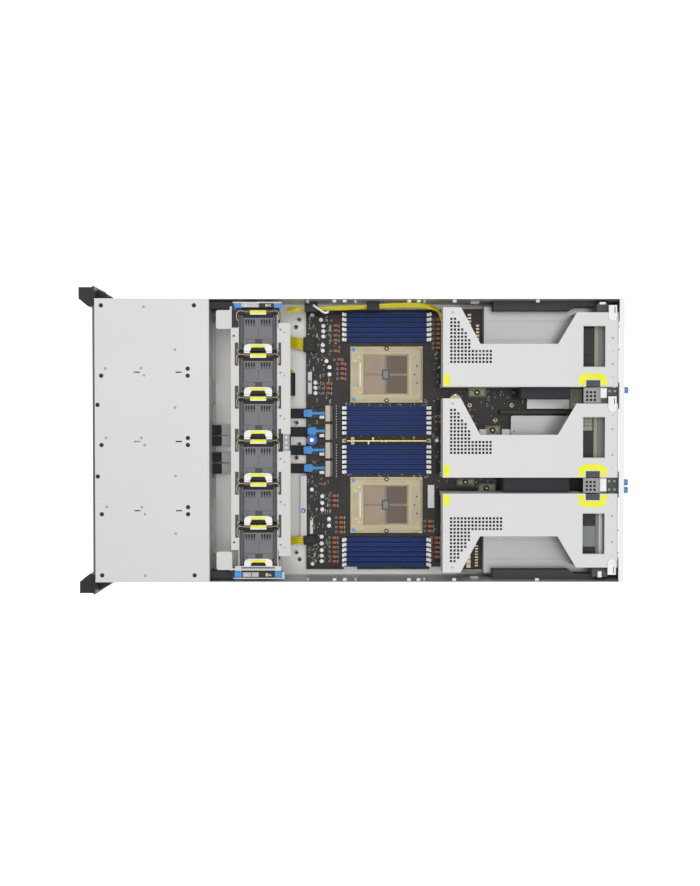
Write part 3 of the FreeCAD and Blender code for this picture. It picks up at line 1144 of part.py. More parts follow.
def signal_cables():
    """Four flat cables from the backplane, along the floor, to their sockets on the board."""
    pieces = []
    width = size("ribbon_width")
    floor = size("sheet_steel") + size("ribbon_thickness") / 2 + 0.2
    lift = size("ribbon_lift")
    socket_z = size("board_height") + size("board_thickness") + size("cable_socket_height") / 2
    start = size("backplane_at") + size("backplane_thickness") + size("bay_socket_depth")
    split = size("fan_at") + 8
    join = size("fan_at") + size("fan_depth") - 4
    rear_end = size("cable_socket_at") + size("cable_mouth_depth")
    front = [(start, lift), (start + 40, lift), (size("bulkhead_at") + 32, floor), (split, floor)]
    rear = [(join, floor), (size("board_at") - 24, floor), (size("board_at") + 4, socket_z),
            (rear_end, socket_z)]
    half = "ribbon_width / 2"
    for number, y in enumerate(CABLE_FRONTS):
        first = route(width, front, "cable_front%d" % number, y)
        last = route(width, rear, "cable_rear%d" % number, cable_rear(number))
        low, high = "%s - %s" % (y, half), "%s + %s" % (y, half)
        low_rear, high_rear = "%s - %s" % (cable_rear(number), half), "%s + %s" % (cable_rear(number), half)
        slant = profile("cable_slant%d" % number, "XY_Plane",
                        [(str(split), low), (str(join), low_rear), (str(join), high_rear),
                         (str(split), high)],
                        "ribbon_thickness", x=FRONT, z="sheet_steel + 0.2")
        pieces.append(fuse("cable%d" % number, [first, slant, last]))
    node("signal_cables", pieces)


def power_cables():
    """Two flat yellow leads to plugs at the board's front edge, and the loom clipped along the left wall."""
    pieces = []
    start, end = size("fan_at") + size("fan_depth") - 10, size("board_at") + 2
    height = size("board_height") + size("board_thickness") + size("power_plug_height") / 2
    floor = size("sheet_steel") + size("ribbon_thickness") / 2 + 0.2
    bends = [(start, floor), (end - 30, floor), (end - 8, height), (end + 2, height)]
    for side, breadth in (("left", "wide"), ("right", "narrow")):
        y, width = "power_lead_" + side, "power_lead_" + breadth
        lead = route(size(width), bends, "lead_" + side, y)
        plug = box("power_plug_" + side, run(at("board_at + 1"), "power_plug_length"),
                   span(y, width + " + 2"),
                   run(BOARD_TOP, "power_plug_height"))
        pieces.append(fuse("power_lead_fused_" + side, [lead, plug]))
    middle = HALF + " - sheet_steel - wall_loom_inset"
    loom = rod("loom", "x", (middle, "wall_loom_height"), "wall_loom_radius",
               at("wall_loom_at"), at("wall_loom_end"))
    clips = [box("clip_" + distance, run(at(distance), "loom_clip_length"),
                 (middle + " - loom_clip_width / 2", HALF + " - sheet_steel"),
                 span("wall_loom_height", "loom_clip_width"))
             for distance in ("loom_clip_front_at", "loom_clip_rear_at")]
    pieces.append(fuse("loom_fused", [loom] + clips))
    node("power_cables", pieces)


def failed(item):
    """True where an object of the document did not compute."""
    return "Invalid" in item.State or "Error" in item.State


chassis_tray()
rear_panel()
drive_bay_cover()
rack_ear("rack_ear_left", 1)
rack_ear("rack_ear_right", -1)
power_button()
front_grille()
drive_cage()
drive_backplane()
for index in range(COUNTS["drive trays"]):
    drive_tray(index)
    drive_lever(index)
fan_cage()
rotor = rotor_shape()
for index in range(COUNTS["fans"]):
    fan_module(index)
    fan_rotor(index, rotor)
motherboard()
dimm_slots()
dimm_latches("dimm_latches_front", -1)
dimm_latches("dimm_latches_rear", 1)
power_card()
cpu_sockets()
socket_frame(1, 1)
socket_frame(2, -1)
board_parts()
for riser in riser_bases():
    riser_cage(*riser)
    slot_lever(*riser)
for index, hand in ((1, 1), (2, -1)):
    supply(index, hand)
    supply_latch(index, hand)
air_baffles()
signal_cables()
power_cables()

doc.recompute()
for item in doc.Objects:
    if failed(item):
        raise RuntimeError("%s did not compute" % item.Label)
for item in SUBPARTS:
    if item.Shape.isNull() or not item.Shape.isValid():
        raise RuntimeError("%s has no valid shape" % item.Label)
os.makedirs("parts", exist_ok=True)
for item in SUBPARTS:
    item.Shape.exportStep("parts/%s.step" % item.Label)
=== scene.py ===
"""Looks of a two-unit rack server with its lid off, seen from above.

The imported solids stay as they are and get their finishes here. The small parts, labels, cables and
fittings that sit on them are modelled in this file and ride on the same bodies.
"""

import logging
import math
import random
from dataclasses import dataclass, field
from enum import Enum

import bpy
from mathutils import Matrix, Vector


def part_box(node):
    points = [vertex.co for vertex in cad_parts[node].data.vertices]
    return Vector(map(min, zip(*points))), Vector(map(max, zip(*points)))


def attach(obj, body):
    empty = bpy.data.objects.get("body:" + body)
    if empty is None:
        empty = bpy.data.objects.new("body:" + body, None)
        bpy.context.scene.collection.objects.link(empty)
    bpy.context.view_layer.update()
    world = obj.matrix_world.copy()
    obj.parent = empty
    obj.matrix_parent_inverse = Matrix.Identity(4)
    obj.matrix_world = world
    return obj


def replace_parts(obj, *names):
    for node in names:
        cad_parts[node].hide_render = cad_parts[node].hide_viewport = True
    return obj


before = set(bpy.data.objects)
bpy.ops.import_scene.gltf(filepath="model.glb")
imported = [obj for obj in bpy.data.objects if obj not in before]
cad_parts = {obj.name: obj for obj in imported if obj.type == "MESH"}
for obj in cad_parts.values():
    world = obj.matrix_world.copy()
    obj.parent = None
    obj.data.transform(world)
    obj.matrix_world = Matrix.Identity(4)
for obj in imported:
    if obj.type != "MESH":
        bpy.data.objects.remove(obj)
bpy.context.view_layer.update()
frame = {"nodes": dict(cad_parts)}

LOG = logging.getLogger("rack_server")
MM = 0.001
CAMERA_HEIGHT, FOCAL_PIXELS = 1788.0, 1088.0
MIDDLE_COLUMN, MIDDLE_ROW = 351.05, 420.0
MIDDLE_X = -4.25
WALL_TOP = 88
TILT_ROWS = 20.65
FRONT_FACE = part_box("drive_bay_cover")[0].x / MM - 0.6
BOARD_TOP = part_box("motherboard")[1].z / MM
Point = tuple[float, float, float]
Colour = tuple[float, float, float]


def behind(distance: float) -> float:
    """Gives the X in millimetres of a place behind the chassis's front face."""
    return FRONT_FACE + distance


def box_mm(node: str) -> tuple[Vector, Vector]:
    """Gives a solid's lowest and highest corners in millimetres."""
    low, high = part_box(node)
    return low / MM, high / MM


def seen(column: float, row: float, height: float) -> tuple[float, float]:
    """Gives the X and Y in millimetres of a place that the picture shows.

    Args:
        column: how far it is from the picture's left edge, in pixels.
        row: how far it is from the picture's top edge, in pixels.
        height: how high above the floor it lies, in millimetres.

    Returns:
        Its X and Y.
    """
    scale = (CAMERA_HEIGHT - height) / FOCAL_PIXELS
    middle_row = MIDDLE_ROW + TILT_ROWS * (CAMERA_HEIGHT - WALL_TOP) / (CAMERA_HEIGHT - height)
    return (column - MIDDLE_COLUMN) * scale + MIDDLE_X, (middle_row - row) * scale


def patch(columns: tuple[float, float], rows: tuple[float, float], low: float, high: float) -> tuple[Point, Point]:
    """Gives the corners of a block whose top face fills a patch of the picture.

    Args:
        columns: the patch's left and right edges, in pixels.
        rows: its upper and lower edges, in pixels.
        low: the block's lower face, in millimetres.
        high: the block's upper face, in millimetres.

    Returns:
        The block's lowest and highest corners.
    """
    left, front = seen(columns[0], rows[1], high)
    right, back = seen(columns[1], rows[0], high)
    return (left, front, low), (right, back, high)


class Side(Enum):
    """Which side wall a part belongs to, as the sign of Y."""

    LEFT = 1
    RIGHT = -1


class Axis(Enum):
    """The way a round part points."""

    X = (0.0, math.pi / 2, 0.0)
    Y = (-math.pi / 2, 0.0, 0.0)
    Z = (0.0, 0.0, 0.0)

    @property
    def way(self) -> Vector:
        """Gives the direction itself."""
        about_x, about_y, _ = self.value
        return Matrix.Rotation(about_y, 3, "Y") @ Matrix.Rotation(about_x, 3, "X") @ Vector((0, 0, 1))


class Slot(Enum):
    """The record's material slots."""

    ZINC = "zinc_steel"
    PALE = "pale_steel"
    DARK = "dark_steel"
    EAR = "ear_black"
    BLACK = "black_plastic"
    ROTOR = "rotor_black"
    BOARD = "circuit_board"
    BLUE = "blue_plastic"
    WHITE = "white_plastic"
    YELLOW = "yellow_plastic"
    BEIGE = "beige_plastic"
    SOCKET = "socket_metal"
    BRIGHT = "bright_metal"
    GOLD = "gold_contacts"
    MIX = "component_mix"
    CABLE_BLACK = "cable_black"
    CABLE_YELLOW = "cable_yellow"
    FOAM = "foam_black"
    LABEL = "label_white"


class Shader:
    """One material's node tree, built step by step."""

    def __init__(self, name: str) -> None:
        """Starts an empty material with its surface shader.

        Args:
            name: what the material is called.
        """
        self.material = bpy.data.materials.new(name)
        self.material.use_nodes = True
        self.nodes = self.material.node_tree.nodes
        self.links = self.material.node_tree.links
        self.surface = self.nodes["Principled BSDF"]
        self.place = self.nodes.new("ShaderNodeTexCoord").outputs["Object"]

    def stretched(self, scale: Point) -> bpy.types.NodeSocket:
        """Gives the object's own coordinates, stretched along its axes.

        Args:
            scale: the stretch along X, Y and Z.

        Returns:
            The socket that carries the stretched coordinates.
        """
        mapping = self.nodes.new("ShaderNodeMapping")
        mapping.inputs["Scale"].default_value = scale
        self.links.new(self.place, mapping.inputs["Vector"])
        return mapping.outputs["Vector"]

    def noise(self, scale: float, detail: float = 3.0, where: bpy.types.NodeSocket | None = None
              ) -> bpy.types.NodeSocket:
        """Gives soft random grain.

        Args:
            scale: how many grains fit a metre.
            detail: how many finer layers it has.
            where: coordinates to use, the object's own if none are given.

        Returns:
            The grain's value, from 0 to 1.
        """
        node = self.nodes.new("ShaderNodeTexNoise")
        node.inputs["Scale"].default_value = scale
        node.inputs["Detail"].default_value = detail
        self.links.new(where or self.place, node.inputs["Vector"])
        return node.outputs["Fac"]

    def cells(self, scale: float, feature: str = "F1", where: bpy.types.NodeSocket | None = None
              ) -> bpy.types.NodeSocket:
        """Gives a pattern of cells.

        Args:
            scale: how many cells fit a metre.
            feature: the part of the cell that is measured.
            where: coordinates to use, the object's own if none are given.

        Returns:
            The distance inside each cell.
        """
        node = self.nodes.new("ShaderNodeTexVoronoi")
        node.feature = feature
        node.inputs["Scale"].default_value = scale
        self.links.new(where or self.place, node.inputs["Vector"])
        return node.outputs["Distance"]

    def bands(self, scale: float, axis: str, distortion: float = 0.0) -> bpy.types.NodeSocket:
        """Gives parallel bands across one axis.

        Args:
            scale: how close the bands lie.
            axis: X, Y or Z.
            distortion: how much they wander.

        Returns:
            The bands' value, from 0 to 1.
        """
        node = self.nodes.new("ShaderNodeTexWave")
        node.wave_type = "BANDS"
        node.bands_direction = axis
        node.inputs["Scale"].default_value = scale
        node.inputs["Distortion"].default_value = distortion
        self.links.new(self.place, node.inputs["Vector"])
        return node.outputs["Fac"]

    def rising(self, low: float, high: float) -> bpy.types.NodeSocket:
        """Gives a value that goes from 0 to 1 between two heights.

        Args:
            low: the height in metres where it is 0.
            high: the height where it is 1.

        Returns:
            The value.
        """
        parts = self.nodes.new("ShaderNodeSeparateXYZ")
        self.links.new(self.place, parts.inputs["Vector"])
        node = self.nodes.new("ShaderNodeMapRange")
        node.inputs["From Min"].default_value = low
        node.inputs["From Max"].default_value = high
        self.links.new(parts.outputs["Z"], node.inputs["Value"])
        return node.outputs["Result"]

    def ramp(self, value: bpy.types.NodeSocket, stops: list[tuple[float, Colour]]) -> bpy.types.NodeSocket:
        """Turns a value into colours.

        Args:
            value: the value to read.
            stops: places from 0 to 1, each with its colour.

        Returns:
            The colour.
        """
        node = self.nodes.new("ShaderNodeValToRGB")
        bar = node.color_ramp
        while len(bar.elements) < len(stops):
            bar.elements.new(0.5)
        for element, (position, colour) in zip(bar.elements, stops):
            element.position = position
            element.color = (*colour, 1.0)
        self.links.new(value, node.inputs["Fac"])
        return node.outputs["Color"]

    def tones(self, value: bpy.types.NodeSocket, colour: Colour, dark: float, light: float,
              span: tuple[float, float] = (0.3, 0.7)) -> bpy.types.NodeSocket:
        """Goes from a darker to a lighter tone of one colour.

        Args:
            value: the value to read.
            colour: the colour between the two tones.
            dark: the darker tone's factor.
            light: the lighter tone's factor.
            span: the values at which the two tones lie.

        Returns:
            The colour.
        """
        return self.ramp(value, [(span[0], shade(colour, dark)), (span[1], shade(colour, light))])

    def times(self, first: bpy.types.NodeSocket, second: float) -> bpy.types.NodeSocket:
        """Gives the product of two values."""
        return self.sum(first, second, "MULTIPLY")

    def blend(self, share: bpy.types.NodeSocket | float, under: bpy.types.NodeSocket | Colour,
              over: bpy.types.NodeSocket | Colour) -> bpy.types.NodeSocket:
        """Mixes two colours.

        Args:
            share: how much of the second colour shows.
            under: the first colour.
            over: the second colour.

        Returns:
            The mixed colour.
        """
        node = self.nodes.new("ShaderNodeMix")
        node.data_type = "RGBA"
        for key, value in ((0, share), (6, under), (7, over)):
            self._feed(node.inputs[key], value)
        return node.outputs[2]

    def sum(self, first: bpy.types.NodeSocket | float, second: bpy.types.NodeSocket | float,
            operation: str = "ADD") -> bpy.types.NodeSocket:
        """Works out one value from two.

        Args:
            first: the first value.
            second: the second value.
            operation: the sum to do.

        Returns:
            The result.
        """
        node = self.nodes.new("ShaderNodeMath")
        node.operation = operation
        self._feed(node.inputs[0], first)
        self._feed(node.inputs[1], second)
        return node.outputs[0]

    def _feed(self, socket: bpy.types.NodeSocket, value: object) -> None:
        """Links a socket, or sets its plain value."""
        if isinstance(value, bpy.types.NodeSocket):
            self.links.new(value, socket)
        elif isinstance(value, tuple):
            socket.default_value = (*value, 1.0)
        else:
            socket.default_value = value

    def relief(self, height: bpy.types.NodeSocket, strength: float, depth: float) -> None:
        """Raises the surface by a pattern.

        Args:
            height: the pattern.
            strength: how strongly it shows.
            depth: its depth in metres.
        """
        node = self.nodes.new("ShaderNodeBump")
        node.inputs["Strength"].default_value = strength
        node.inputs["Distance"].default_value = depth
        self.links.new(height, node.inputs["Height"])
        self.links.new(node.outputs["Normal"], self.surface.inputs["Normal"])

    def finish(self, colour: bpy.types.NodeSocket | Colour, roughness: bpy.types.NodeSocket | float,
               metallic: float = 0.0, coat: float = 0.0) -> bpy.types.Material:
        """Feeds the surface shader.

        Args:
            colour: the base colour.
            roughness: how matt it is.
            metallic: 1 for bare metal.
            coat: the strength of a clear coat.

        Returns:
            The finished material.
        """
        self._feed(self.surface.inputs["Base Color"], colour)
        self._feed(self.surface.inputs["Roughness"], roughness)
        self.surface.inputs["Metallic"].default_value = metallic
        self.surface.inputs["Coat Weight"].default_value = coat
        return self.material


def shade(colour: Colour, factor: float) -> Colour:
    """Gives a colour made lighter or darker by a factor."""
    return tuple(min(1.0, part * factor) for part in colour)


@dataclass(frozen=True)
class Finish:
    """What every finish has: its name, its colour and the slot it stands for."""

    name: str
    colour: Colour
    slot: Slot

    def build(self) -> bpy.types.Material:
        """Makes the material, once for each name."""
        return bpy.data.materials.get(self.name) or self.make()

    def make(self) -> bpy.types.Material:
        """Makes the material's nodes."""
        raise NotImplementedError


@dataclass(frozen=True)
class SheetMetal(Finish):
    """Rolled sheet: fine speckle, faint rolling streaks, worn patches, and painted shade on its upright walls when
    walls is below 1.
    """

    roughness: float = 0.45
    metallic: float = 0.35
    speckle: float = 0.05
    streaks: float = 0.03
    walls: float = 1.0

    def make(self) -> bpy.types.Material:
        """Makes the material's nodes."""
        shader = Shader(self.name)
        grain = shader.noise(1400, 2)
        rolled = shader.noise(260, 2, shader.stretched((0.04, 1.0, 0.4)))
        patches = shader.noise(9, 3)
        base = shader.ramp(grain, [(0.35, shade(self.colour, 1 - self.speckle)),
                                   (0.65, shade(self.colour, 1 + self.speckle))])
        base = shader.blend(shader.times(rolled, self.streaks * 4), base,
                            shade(self.colour, 1 - 2 * self.streaks))
        base = shader.blend(shader.times(patches, 0.12), base, shade(self.colour, 0.93))
        # Painted shade: from 3 mm up to 20 mm the sheet darkens to the walls factor, standing in for the shade on the
        # upright walls.
        if self.walls < 1:
            base = shader.blend(shader.rising(0.003, 0.02), base, shade(self.colour, self.walls))
        rough = shader.sum(shader.times(patches, 0.14), self.roughness - 0.07)
        shader.relief(grain, 0.08, 0.00006)
        return shader.finish(base, rough, self.metallic)


@dataclass(frozen=True)
class Moulded(Finish):
    """Moulded plastic: fine spark texture and slight tone changes."""

    roughness: float = 0.5
    grain: float = 0.12
    coat: float = 0.0

    def make(self) -> bpy.types.Material:
        """Makes the material's nodes."""
        shader = Shader(self.name)
        texture = shader.noise(2600, 3)
        tone = shader.noise(45, 3)
        base = shader.tones(tone, self.colour, 0.93, 1.06)
        base = shader.blend(shader.times(texture, 0.16), base, shade(self.colour, 0.86))
        rough = shader.sum(shader.times(texture, 0.16), self.roughness - 0.08)
        shader.relief(texture, self.grain, 0.00005)
        shader.surface.inputs["Specular IOR Level"].default_value = 0.3
        return shader.finish(base, rough, 0.0, self.coat)


@dataclass(frozen=True)
class Plated(Finish):
    """Plated or polished metal with hairline scratches."""

    roughness: float = 0.25
    metallic: float = 1.0

    def make(self) -> bpy.types.Material:
        """Makes the material's nodes."""
        shader = Shader(self.name)
        hairlines = shader.noise(900, 2, shader.stretched((0.06, 1.0, 1.0)))
        dull = shader.noise(70, 3)
        base = shader.tones(dull, self.colour, 0.9, 1.08)
        rough = shader.sum(shader.times(hairlines, 0.2), self.roughness - 0.08)
        shader.relief(hairlines, 0.06, 0.00003)
        return shader.finish(base, rough, self.metallic)


@dataclass(frozen=True)
class Laminate(Finish):
    """Solder mask over copper: fine tracks, copper fields and via holes."""

    track: Colour = (0.06, 0.05, 0.035)
    via: Colour = (0.35, 0.31, 0.22)

    def make(self) -> bpy.types.Material:
        """Makes the material's nodes."""
        shader = Shader(self.name)
        fields = shader.cells(42, "F1", shader.stretched((1.0, 1.0, 0.0)))
        along = shader.bands(190, "X", 2.5)
        across = shader.bands(170, "Y", 2.5)
        region = shader.ramp(shader.noise(38, 1), [(0.47, (0, 0, 0)), (0.5, (1, 1, 1))])
        chosen = shader.blend(region, along, across)
        tracks = shader.ramp(chosen, [(0.72, self.colour), (0.84, self.track)])
        where = shader.ramp(shader.noise(70, 2), [(0.45, (0, 0, 0)), (0.58, (1, 1, 1))])
        base = shader.blend(where, self.colour, tracks)
        base = shader.blend(shader.ramp(fields, [(0.3, (0, 0, 0)), (0.7, (0.3, 0.3, 0.3))]), base,
                            shade(self.track, 0.8))
        holes = shader.ramp(shader.cells(330, "F1", shader.stretched((1.0, 1.0, 0.0))),
                            [(0.10, (1, 1, 1)), (0.14, (0, 0, 0))])
        sparse = shader.ramp(shader.noise(55, 2), [(0.52, (0, 0, 0)), (0.6, (0.75, 0.75, 0.75))])
        base = shader.blend(shader.blend(sparse, (0.0, 0.0, 0.0), holes), base, self.via)
        shader.relief(tracks, 0.15, 0.00004)
        shader.surface.inputs["Specular IOR Level"].default_value = 0.25
        return shader.finish(base, 0.42, 0.0, 0.15)


@dataclass(frozen=True)
class OpenFoam(Finish):
    """Dark closed-cell foam, with painted shade in its pores."""

    def make(self) -> bpy.types.Material:
        """Makes the material's nodes."""
        shader = Shader(self.name)
        pores = shader.cells(900)
        tone = shader.noise(60, 4)
        # Painted shade: the pits of the pores are darker.
        base = shader.tones(pores, self.colour, 0.7, 1.25, (0.1, 0.6))
        base = shader.blend(shader.times(tone, 0.3), base, shade(self.colour, 0.8))
        shader.relief(pores, 0.35, 0.0003)
        return shader.finish(base, 0.92)


@dataclass(frozen=True)
class Insulation(Finish):
    """Soft wire insulation with a slight sheen, and painted shade in the grooves between the ribs of ribbed cable."""

    roughness: float = 0.42
    ribs: float = 0.0
    rib_axis: str = "Y"

    def make(self) -> bpy.types.Material:
        """Makes the material's nodes."""
        shader = Shader(self.name)
        tone = shader.noise(160, 3)
        base = shader.tones(tone, self.colour, 0.85, 1.1)
        height = shader.noise(1500, 2)
        if self.ribs:
            ribbed = shader.bands(self.ribs, self.rib_axis)
            # Painted shade: the grooves between the ribs are darkened.
            base = shader.blend(shader.ramp(ribbed, [(0.0, (0.55, 0.55, 0.55)), (0.45, (0, 0, 0))]), base,
                                shade(self.colour, 0.45))
            height = ribbed
        shader.relief(height, 0.4 if self.ribs else 0.1, 0.0004 if self.ribs else 0.00005)
        return shader.finish(base, self.roughness, 0.0, 0.1)


@dataclass(frozen=True)
class PrintedLabel(Finish):
    """Matt label film with a faint printed tint and no writing."""

    def make(self) -> bpy.types.Material:
        """Makes the material's nodes."""
        shader = Shader(self.name)
        fibre = shader.noise(1900, 3)
        base = shader.tones(fibre, self.colour, 0.95, 1.03)
        shader.relief(fibre, 0.06, 0.00003)
        return shader.finish(base, 0.55)


class Palette:
    """Every finish of the server, by the part it belongs to."""

    # The chassis tray's walls value of 0.6 paints shade on its upright walls.
    zinc = SheetMetal("zinc_sheet", (0.80, 0.80, 0.77), Slot.ZINC, 0.42, 0.3, 0.08, 0.03, 0.6)
    wall = SheetMetal("zinc_wall", (0.60, 0.60, 0.59), Slot.ZINC, 0.40, 0.4, 0.06)
    cover = SheetMetal("cover_sheet", (0.72, 0.725, 0.725), Slot.PALE, 0.5, 0.15, 0.025)
    riser = SheetMetal("riser_sheet", (0.735, 0.74, 0.735), Slot.PALE, 0.5, 0.1, 0.035)
    bright = SheetMetal("bright_edge_sheet", (0.93, 0.93, 0.93), Slot.PALE, 0.5, 0.05, 0.02)
    cage = SheetMetal("fan_cage_sheet", (0.68, 0.68, 0.655), Slot.PALE, 0.5, 0.1, 0.02)
    shadow = SheetMetal("dark_sheet", (0.12, 0.12, 0.125), Slot.DARK, 0.5, 0.5, 0.05)
    dimple = SheetMetal("pressed_mark", (0.42, 0.42, 0.42), Slot.PALE, 0.55, 0.3, 0.03)
    panel = SheetMetal("panel_sheet", (0.33, 0.335, 0.335), Slot.ZINC, 0.45, 0.3, 0.05)
    moss = SheetMetal("bracket_sheet", (0.22, 0.24, 0.225), Slot.DARK, 0.5, 0.2, 0.05)
    khaki = SheetMetal("shaded_bracket", (0.30, 0.30, 0.23), Slot.DARK, 0.45, 0.3, 0.05)
    slate = Moulded("dark_hardware", (0.085, 0.088, 0.088), Slot.MIX, 0.55, 0.3)
    grey = SheetMetal("grey_sheet", (0.36, 0.37, 0.38), Slot.DARK, 0.42, 0.6, 0.05)
    supply = SheetMetal("supply_sheet", (0.36, 0.365, 0.365), Slot.BRIGHT, 0.34, 0.6, 0.03)
    ear = Moulded("ear_black_coat", (0.022, 0.024, 0.027), Slot.EAR, 0.42, 0.2)
    ear_grey = Moulded("ear_grey_face", (0.10, 0.105, 0.115), Slot.EAR, 0.45, 0.2)
    black = Moulded("black_plastic_part", (0.028, 0.028, 0.030), Slot.BLACK, 0.5)
    fan = Moulded("fan_housing", (0.075, 0.075, 0.085), Slot.BLACK, 0.42, 0.2)
    fan_deck = Moulded("fan_deck", (0.200, 0.202, 0.215), Slot.BLACK, 0.45, 0.4)
    fan_post = Moulded("fan_post", (0.125, 0.127, 0.142), Slot.BLACK, 0.4, 0.25)
    # Near-black painted shade for the fan tops' slots, the grip's opening and the gaps between modules, and the colour
    # of the deck's seam.
    fan_dark = Moulded("fan_painted_shade_and_seam", (0.012, 0.012, 0.014), Slot.BLACK, 0.5)
    rotor = Moulded("rotor_plastic", (0.035, 0.035, 0.038), Slot.ROTOR, 0.4)
    board = Laminate("main_board", (0.009, 0.007, 0.005), Slot.BOARD, (0.034, 0.029, 0.021))
    card = Laminate("card_board", (0.018, 0.030, 0.020), Slot.BOARD, (0.05, 0.07, 0.045))
    slot_blue = Moulded("memory_slot_blue", (0.004, 0.030, 0.175), Slot.BLUE, 0.5, 0.08, 0.0)
    slot_line = Moulded("memory_contact_line", (0.018, 0.066, 0.26), Slot.BLUE, 0.5)
    tab_blue = Moulded("pull_tab_blue", (0.03, 0.30, 0.80), Slot.BLUE, 0.35, 0.06, 0.3)
    knob_blue = Moulded("knob_blue", (0.008, 0.13, 0.50), Slot.BLUE, 0.35, 0.08, 0.3)
    white = Moulded("white_plastic_part", (0.94, 0.94, 0.92), Slot.WHITE, 0.45, 0.06)
    cream = Moulded("cream_plastic", (0.70, 0.64, 0.46), Slot.BEIGE, 0.45, 0.08)
    tan = Moulded("socket_frame_tan", (0.60, 0.52, 0.34), Slot.BEIGE, 0.45, 0.1)
    tan_deep = Moulded("contact_field_tan", (0.42, 0.35, 0.21), Slot.BEIGE, 0.55, 0.25)
    field_lit = Moulded("contact_field_lit", (0.40, 0.305, 0.225), Slot.BEIGE, 0.5, 0.3)
    field_dim = Moulded("contact_field_dim", (0.155, 0.125, 0.095), Slot.BEIGE, 0.5, 0.5)
    frame = Moulded("socket_frame_plate", (0.52, 0.46, 0.31), Slot.SOCKET, 0.4, 0.1)
    yellow = Moulded("touch_yellow", (0.96, 0.95, 0.03), Slot.YELLOW, 0.45, 0.05)
    orange = Moulded("coil_orange", (0.40, 0.092, 0.014), Slot.MIX, 0.4, 0.25, 0.2)
    chip = Moulded("chip_black", (0.030, 0.029, 0.029), Slot.MIX, 0.45, 0.15)
    chip_grey = Moulded("chip_grey", (0.16, 0.16, 0.155), Slot.MIX, 0.4, 0.1)
    nickel = Plated("nickel", (0.62, 0.62, 0.60), Slot.BRIGHT, 0.3)
    steel = Plated("screw_steel", (0.50, 0.52, 0.54), Slot.BRIGHT, 0.35)
    gold = Plated("gold_plate", (0.72, 0.52, 0.20), Slot.GOLD, 0.3)
    brass = Plated("standoff_brass", (0.52, 0.45, 0.28), Slot.GOLD, 0.4)
    solder = Plated("solder", (0.55, 0.55, 0.54), Slot.MIX, 0.4, 0.8)
    ribbon = Insulation("ribbon_black", (0.052, 0.052, 0.053), Slot.CABLE_BLACK, 0.5, 260)
    sleeve = Insulation("sleeve_black", (0.014, 0.014, 0.014), Slot.CABLE_BLACK, 0.6)
    wire_yellow = Moulded("wire_yellow", (1.0, 0.86, 0.03), Slot.CABLE_YELLOW, 0.4, 0.04)
    navy = Moulded("dark_box_lid", (0.020, 0.022, 0.032), Slot.BLACK, 0.45)
    foam = OpenFoam("baffle_foam", (0.055, 0.057, 0.062), Slot.FOAM)
    label = PrintedLabel("bare_label", (0.82, 0.82, 0.81), Slot.LABEL)


PALETTE = Palette()


